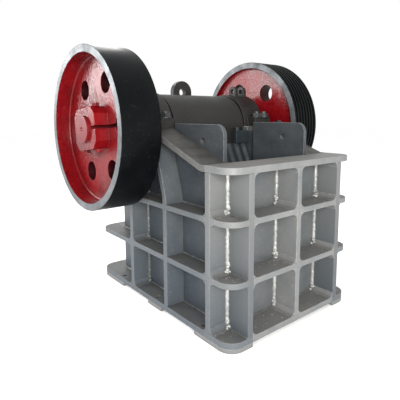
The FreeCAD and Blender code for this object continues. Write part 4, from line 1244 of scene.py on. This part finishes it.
@dataclass
class Drive(SubAssembly):
    """Eccentric shaft with the flywheel and the belt pulley clamped to it."""

    wheel_edge: float = 1.8 * MM
    web_fillet: float = 9 * MM
    near: float = 0.8 * MM
    rim_bore: float = 0.360
    hole_zone: tuple[float, float] = (0.17, 0.33)
    face_normal: float = 0.97
    hole_normal: float = 0.2
    bolt_edge: float = 1.2 * MM
    shaft_edge: float = 2 * MM
    shaft_radius: float = 65 * MM
    centre_hole: float = 11 * MM
    centre_depth: float = 16 * MM
    centre_taper: float = 0.35

    def build(self) -> None:
        """Finishes the shaft, both wheels and their clamp bolts."""
        low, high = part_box("flywheel")
        self.axis = ((low.y + high.y) / 2, (low.z + high.z) / 2)
        self.turned = TurnedSteel("turned_face", self.axis).build(self.paints.effects)
        for wheel in ("flywheel", "grooved_pulley"):
            piece = self.finish_node(wheel, self.paints.wheel_red, "wheel_red", self.wheel_edge, 2,
                                     self.cast_fillets)
            self.paint_rim(piece)
        for wheel in ("flywheel", "pulley"):
            self.finish_node(f"{wheel}_clamp_bolts", self.paints.shaft_end, "bolt_steel", self.bolt_edge)
        self.finish_node("eccentric_shaft", self.paints.shaft_end, "wheel_red", self.shaft_edge, 2,
                         self.centre_holes)

    def away(self, spot: Vector) -> float:
        """Distance of a point from the shaft axis."""
        return math.hypot(spot.y - self.axis[0], spot.z - self.axis[1])

    def paint_rim(self, piece: Piece) -> None:
        """Black paint round the rim, bare turned steel on its two faces, and a near-black red as painted
        shade on the walls of the web's holes.

        Args:
            piece: the finished wheel.
        """
        bore = self.rim_bore + 0.5 * MM

        def outside(face: Face) -> bool:
            """Face beyond the rim's bore."""
            return min(self.away(vert.co) for vert in face.verts) > bore

        def in_hole(face: Face) -> bool:
            """Wall of one of the web's lightening holes."""
            spans = [self.away(vert.co) for vert in face.verts]
            inside = min(spans) > self.hole_zone[0] and max(spans) < self.hole_zone[1]
            return inside and abs(face.normal.x) < self.hole_normal

        def flat(face: Face) -> bool:
            """Face square to the shaft."""
            return abs(face.normal.x) >= self.face_normal

        # The walls of the web's holes take the hole red, as painted shade.
        zones = ((self.paints.rim_black, lambda face: outside(face) and not flat(face)),
                 (self.turned, lambda face: outside(face) and flat(face)),
                 (self.paints.hole_red_painted_shade, in_hole))
        for number, (material, test) in enumerate(zones, start=1):
            piece.data.materials.append(material)
            with editing(piece):
                pick(piece, "faces", test)
                piece.active_material_index = number
                bpy.ops.object.material_slot_assign()

    def cast_fillets(self, piece: Piece) -> None:
        """Rounds the inner corners of a wheel casting, where its web meets the rim.

        Args:
            piece: the wheel.
        """
        stations = sorted({round(abs(v.co.x), 4) for v in piece.data.vertices})

        def in_corner(first: Vector, second: Vector) -> bool:
            """Edge of the circle where the web meets the rim."""
            level = abs(first.x - second.x) <= self.near
            within = stations[0] + self.near < abs(first.x) < stations[-1] - self.near
            on_bore = all(abs(self.away(spot) - self.rim_bore) < self.near for spot in (first, second))
            return level and within and on_bore

        with editing(piece, "EDGE"):
            pick(piece, "edges", in_corner)
            bpy.ops.mesh.bevel(offset=self.web_fillet, segments=5, profile=0.5)

    def centre_holes(self, piece: Piece) -> None:
        """Lathe centres drilled in both ends of the shaft.

        Args:
            piece: the shaft.
        """
        end = max(abs(v.co.x) for v in piece.data.vertices)
        for side in (-1, 1):
            with editing(piece):
                pick(piece, "faces", lambda face: face.normal.x * side > SQUARE
                     and face.verts[0].co.x * side > end - MM)
                bpy.ops.mesh.inset(thickness=self.shaft_radius - self.centre_hole)
                bpy.ops.mesh.extrude_region_move(
                    TRANSFORM_OT_translate={"value": (-side * self.centre_depth, 0, 0)})
                bpy.ops.transform.resize(
                    value=(1, self.centre_taper, self.centre_taper),
                    center_override=(side * (end - self.centre_depth), self.axis[0], self.axis[1]))


@dataclass
class JawPlate:
    """Toothed jaw plate built up from a flat grid."""

    node: str
    lean: float = 0.0
    teeth: int = 9
    tooth_depth: float = 14 * MM
    edge: float = 1.5 * MM

    def model(self) -> Piece:
        """Models the plate inside its CAD node's box, its teeth towards the chamber.

        Returns:
            The plate.
        """
        low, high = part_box(self.node)
        width, height = high.x - low.x, high.z - low.z
        thick = high.y - low.y - abs(self.lean)
        faces_front = self.lean != 0
        clear_selection()
        columns = 4 * self.teeth
        bpy.ops.mesh.primitive_grid_add(x_subdivisions=columns, y_subdivisions=1, size=1)
        piece = bpy.context.active_object
        piece.name = f"{self.node}_toothed"
        piece.rotation_euler = (math.pi / 2, 0, 0)
        piece.scale = (width, height, 1)
        face = low.y if faces_front else high.y
        piece.location = ((low.x + high.x) / 2, face, (low.z + high.z) / 2)
        settle(piece)
        inward = 1 if faces_front else -1
        pitch = width / columns

        def in_valley(spot: Vector) -> bool:
            """Vertex on the floor between two teeth."""
            return round((spot.x - low.x) / pitch) % 4 in (0, 1)

        with editing(piece, "VERT"):
            pick(piece, "verts", in_valley)
            bpy.ops.transform.translate(value=(0, inward * self.tooth_depth, 0))
            bpy.ops.mesh.select_all(action="SELECT")
            bpy.ops.mesh.extrude_region_move(
                TRANSFORM_OT_translate={"value": (0, inward * thick, 0)})
            back = face + inward * thick
            bpy.ops.transform.resize(value=(1, 0, 1), center_override=(0, back, 0))
            if self.lean:
                middle = (low.z + high.z) / 2
                pick(piece, "verts", lambda spot: spot.z > middle)
                bpy.ops.transform.translate(value=(0, self.lean, 0))
            face_outward()
        ease_edges(piece, self.edge)
        smooth_shading(piece)
        return piece


@dataclass
class Chamber(SubAssembly):
    """Fixed jaw plate and the cheek plates that line the sides of the chamber."""

    cheek_edge: float = 2.5 * MM

    def build(self) -> None:
        """Finishes the fixed side of the chamber."""
        plate = JawPlate("fixed_jaw_plate").model()
        deliver(plate, self.paints.jaw, "frame", "jaw_iron", "fixed_jaw_plate")
        for side in ("left", "right"):
            self.finish_node(f"cheek_plate_{side}", self.paints.liner, "liner_steel", self.cheek_edge, 3)


@dataclass
class MovingJaw(SubAssembly):
    """Pitman on the eccentric, its toothed plate, clamp blocks with bolts, and the lifting eye."""

    casting_edge: float = 4 * MM
    block_edge: float = 3 * MM
    eye_edge: float = 5 * MM
    plate_depth: float = 46 * MM
    bolt: Fastener = Fastener(6, 15 * MM, 17 * MM, border=1.6 * MM, step=1 * MM, edge=0.9 * MM)
    bolt_offsets: tuple[float, float] = (172 * MM, 228 * MM)

    def build(self) -> None:
        """Finishes the moving side of the chamber."""
        self.finish_node("pitman", self.paints.pitman, "pitman_paint", self.casting_edge, 3)
        low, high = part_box("moving_jaw_plate")
        lean = high.y - low.y - self.plate_depth
        plate = JawPlate("moving_jaw_plate", lean).model()
        deliver(plate, self.paints.jaw, "moving_jaw", "jaw_iron", "moving_jaw_plate")
        self.finish_node("jaw_clamp_blocks", self.paints.toggle, "toggle_iron", self.block_edge, 3)
        self.finish_node("lifting_eye", self.paints.pitman, "pitman_paint", self.eye_edge, 4)
        self.clamp_bolts()

    def clamp_bolts(self) -> None:
        """Hexagon bolts that draw the clamp blocks down on the jaw plate."""
        low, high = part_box("jaw_clamp_blocks")
        depth = (low.y + high.y) / 2
        spots = [(side * offset, depth) for side in (-1, 1) for offset in self.bolt_offsets]
        piece = self.bolt.lay("jaw_clamp_bolts", spots, high.z)
        deliver(piece, self.paints.toggle, "moving_jaw", "bolt_steel")


@dataclass
class ToggleGear(SubAssembly):
    """Toggle plate and seat, and the tension rod with its coil spring."""

    seat_edge: float = 2.5 * MM
    plate_edge: float = 3 * MM
    rod_edge: float = 1.2 * MM
    wire: float = 8.5 * MM
    turns: float = 3.6
    steps_a_turn: int = 20

    def build(self) -> None:
        """Finishes the gear under the pitman and behind the rear wall."""
        self.finish_node("toggle_seat", self.paints.primer, "frame_primer", self.seat_edge)
        self.finish_node("toggle_plate", self.paints.toggle, "toggle_iron", self.plate_edge, 3)
        self.finish_node("tension_rod", self.paints.bolt, "bolt_steel", self.rod_edge)
        self.wind_spring()

    def wind_spring(self) -> None:
        """Coil spring in the place of its CAD tube."""
        low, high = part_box("tension_spring")
        mean = (high.x - low.x) / 2 - self.wire
        clear_selection()
        bpy.ops.mesh.primitive_circle_add(vertices=12, radius=self.wire, location=(mean, 0, 0))
        piece = bpy.context.active_object
        settle(piece)
        travel = (high.y - low.y) - 2 * self.wire
        steps = int(self.steps_a_turn * self.turns)
        apply_modifier(piece, "SCREW", axis="Y", angle=math.tau * self.turns, screw_offset=travel,
                       steps=steps, render_steps=steps)
        piece.location = ((low.x + high.x) / 2, low.y + self.wire, (low.z + high.z) / 2)
        settle(piece)
        piece.name = "tension_spring_coil"
        with editing(piece, "EDGE"):
            bpy.ops.mesh.select_all(action="SELECT")
            bpy.ops.mesh.remove_doubles(threshold=MERGE_REACH)
            bpy.ops.mesh.select_all(action="SELECT")
            bpy.ops.mesh.fill_holes(sides=0)
            face_outward()
        smooth_shading(piece)
        deliver(piece, self.paints.spring, "frame", "spring_steel", "tension_spring")


def main() -> None:
    """Builds the studio and every sub-assembly in order."""
    logging.basicConfig(level=logging.INFO, format="%(name)s: %(message)s")
    Studio().build()
    paints = Paints()
    FrameWeldment(paints).build()
    Bearings(paints).build()
    Drive(paints).build()
    Chamber(paints).build()
    MovingJaw(paints).build()
    ToggleGear(paints).build()


if __name__ == "__main__":
    main()
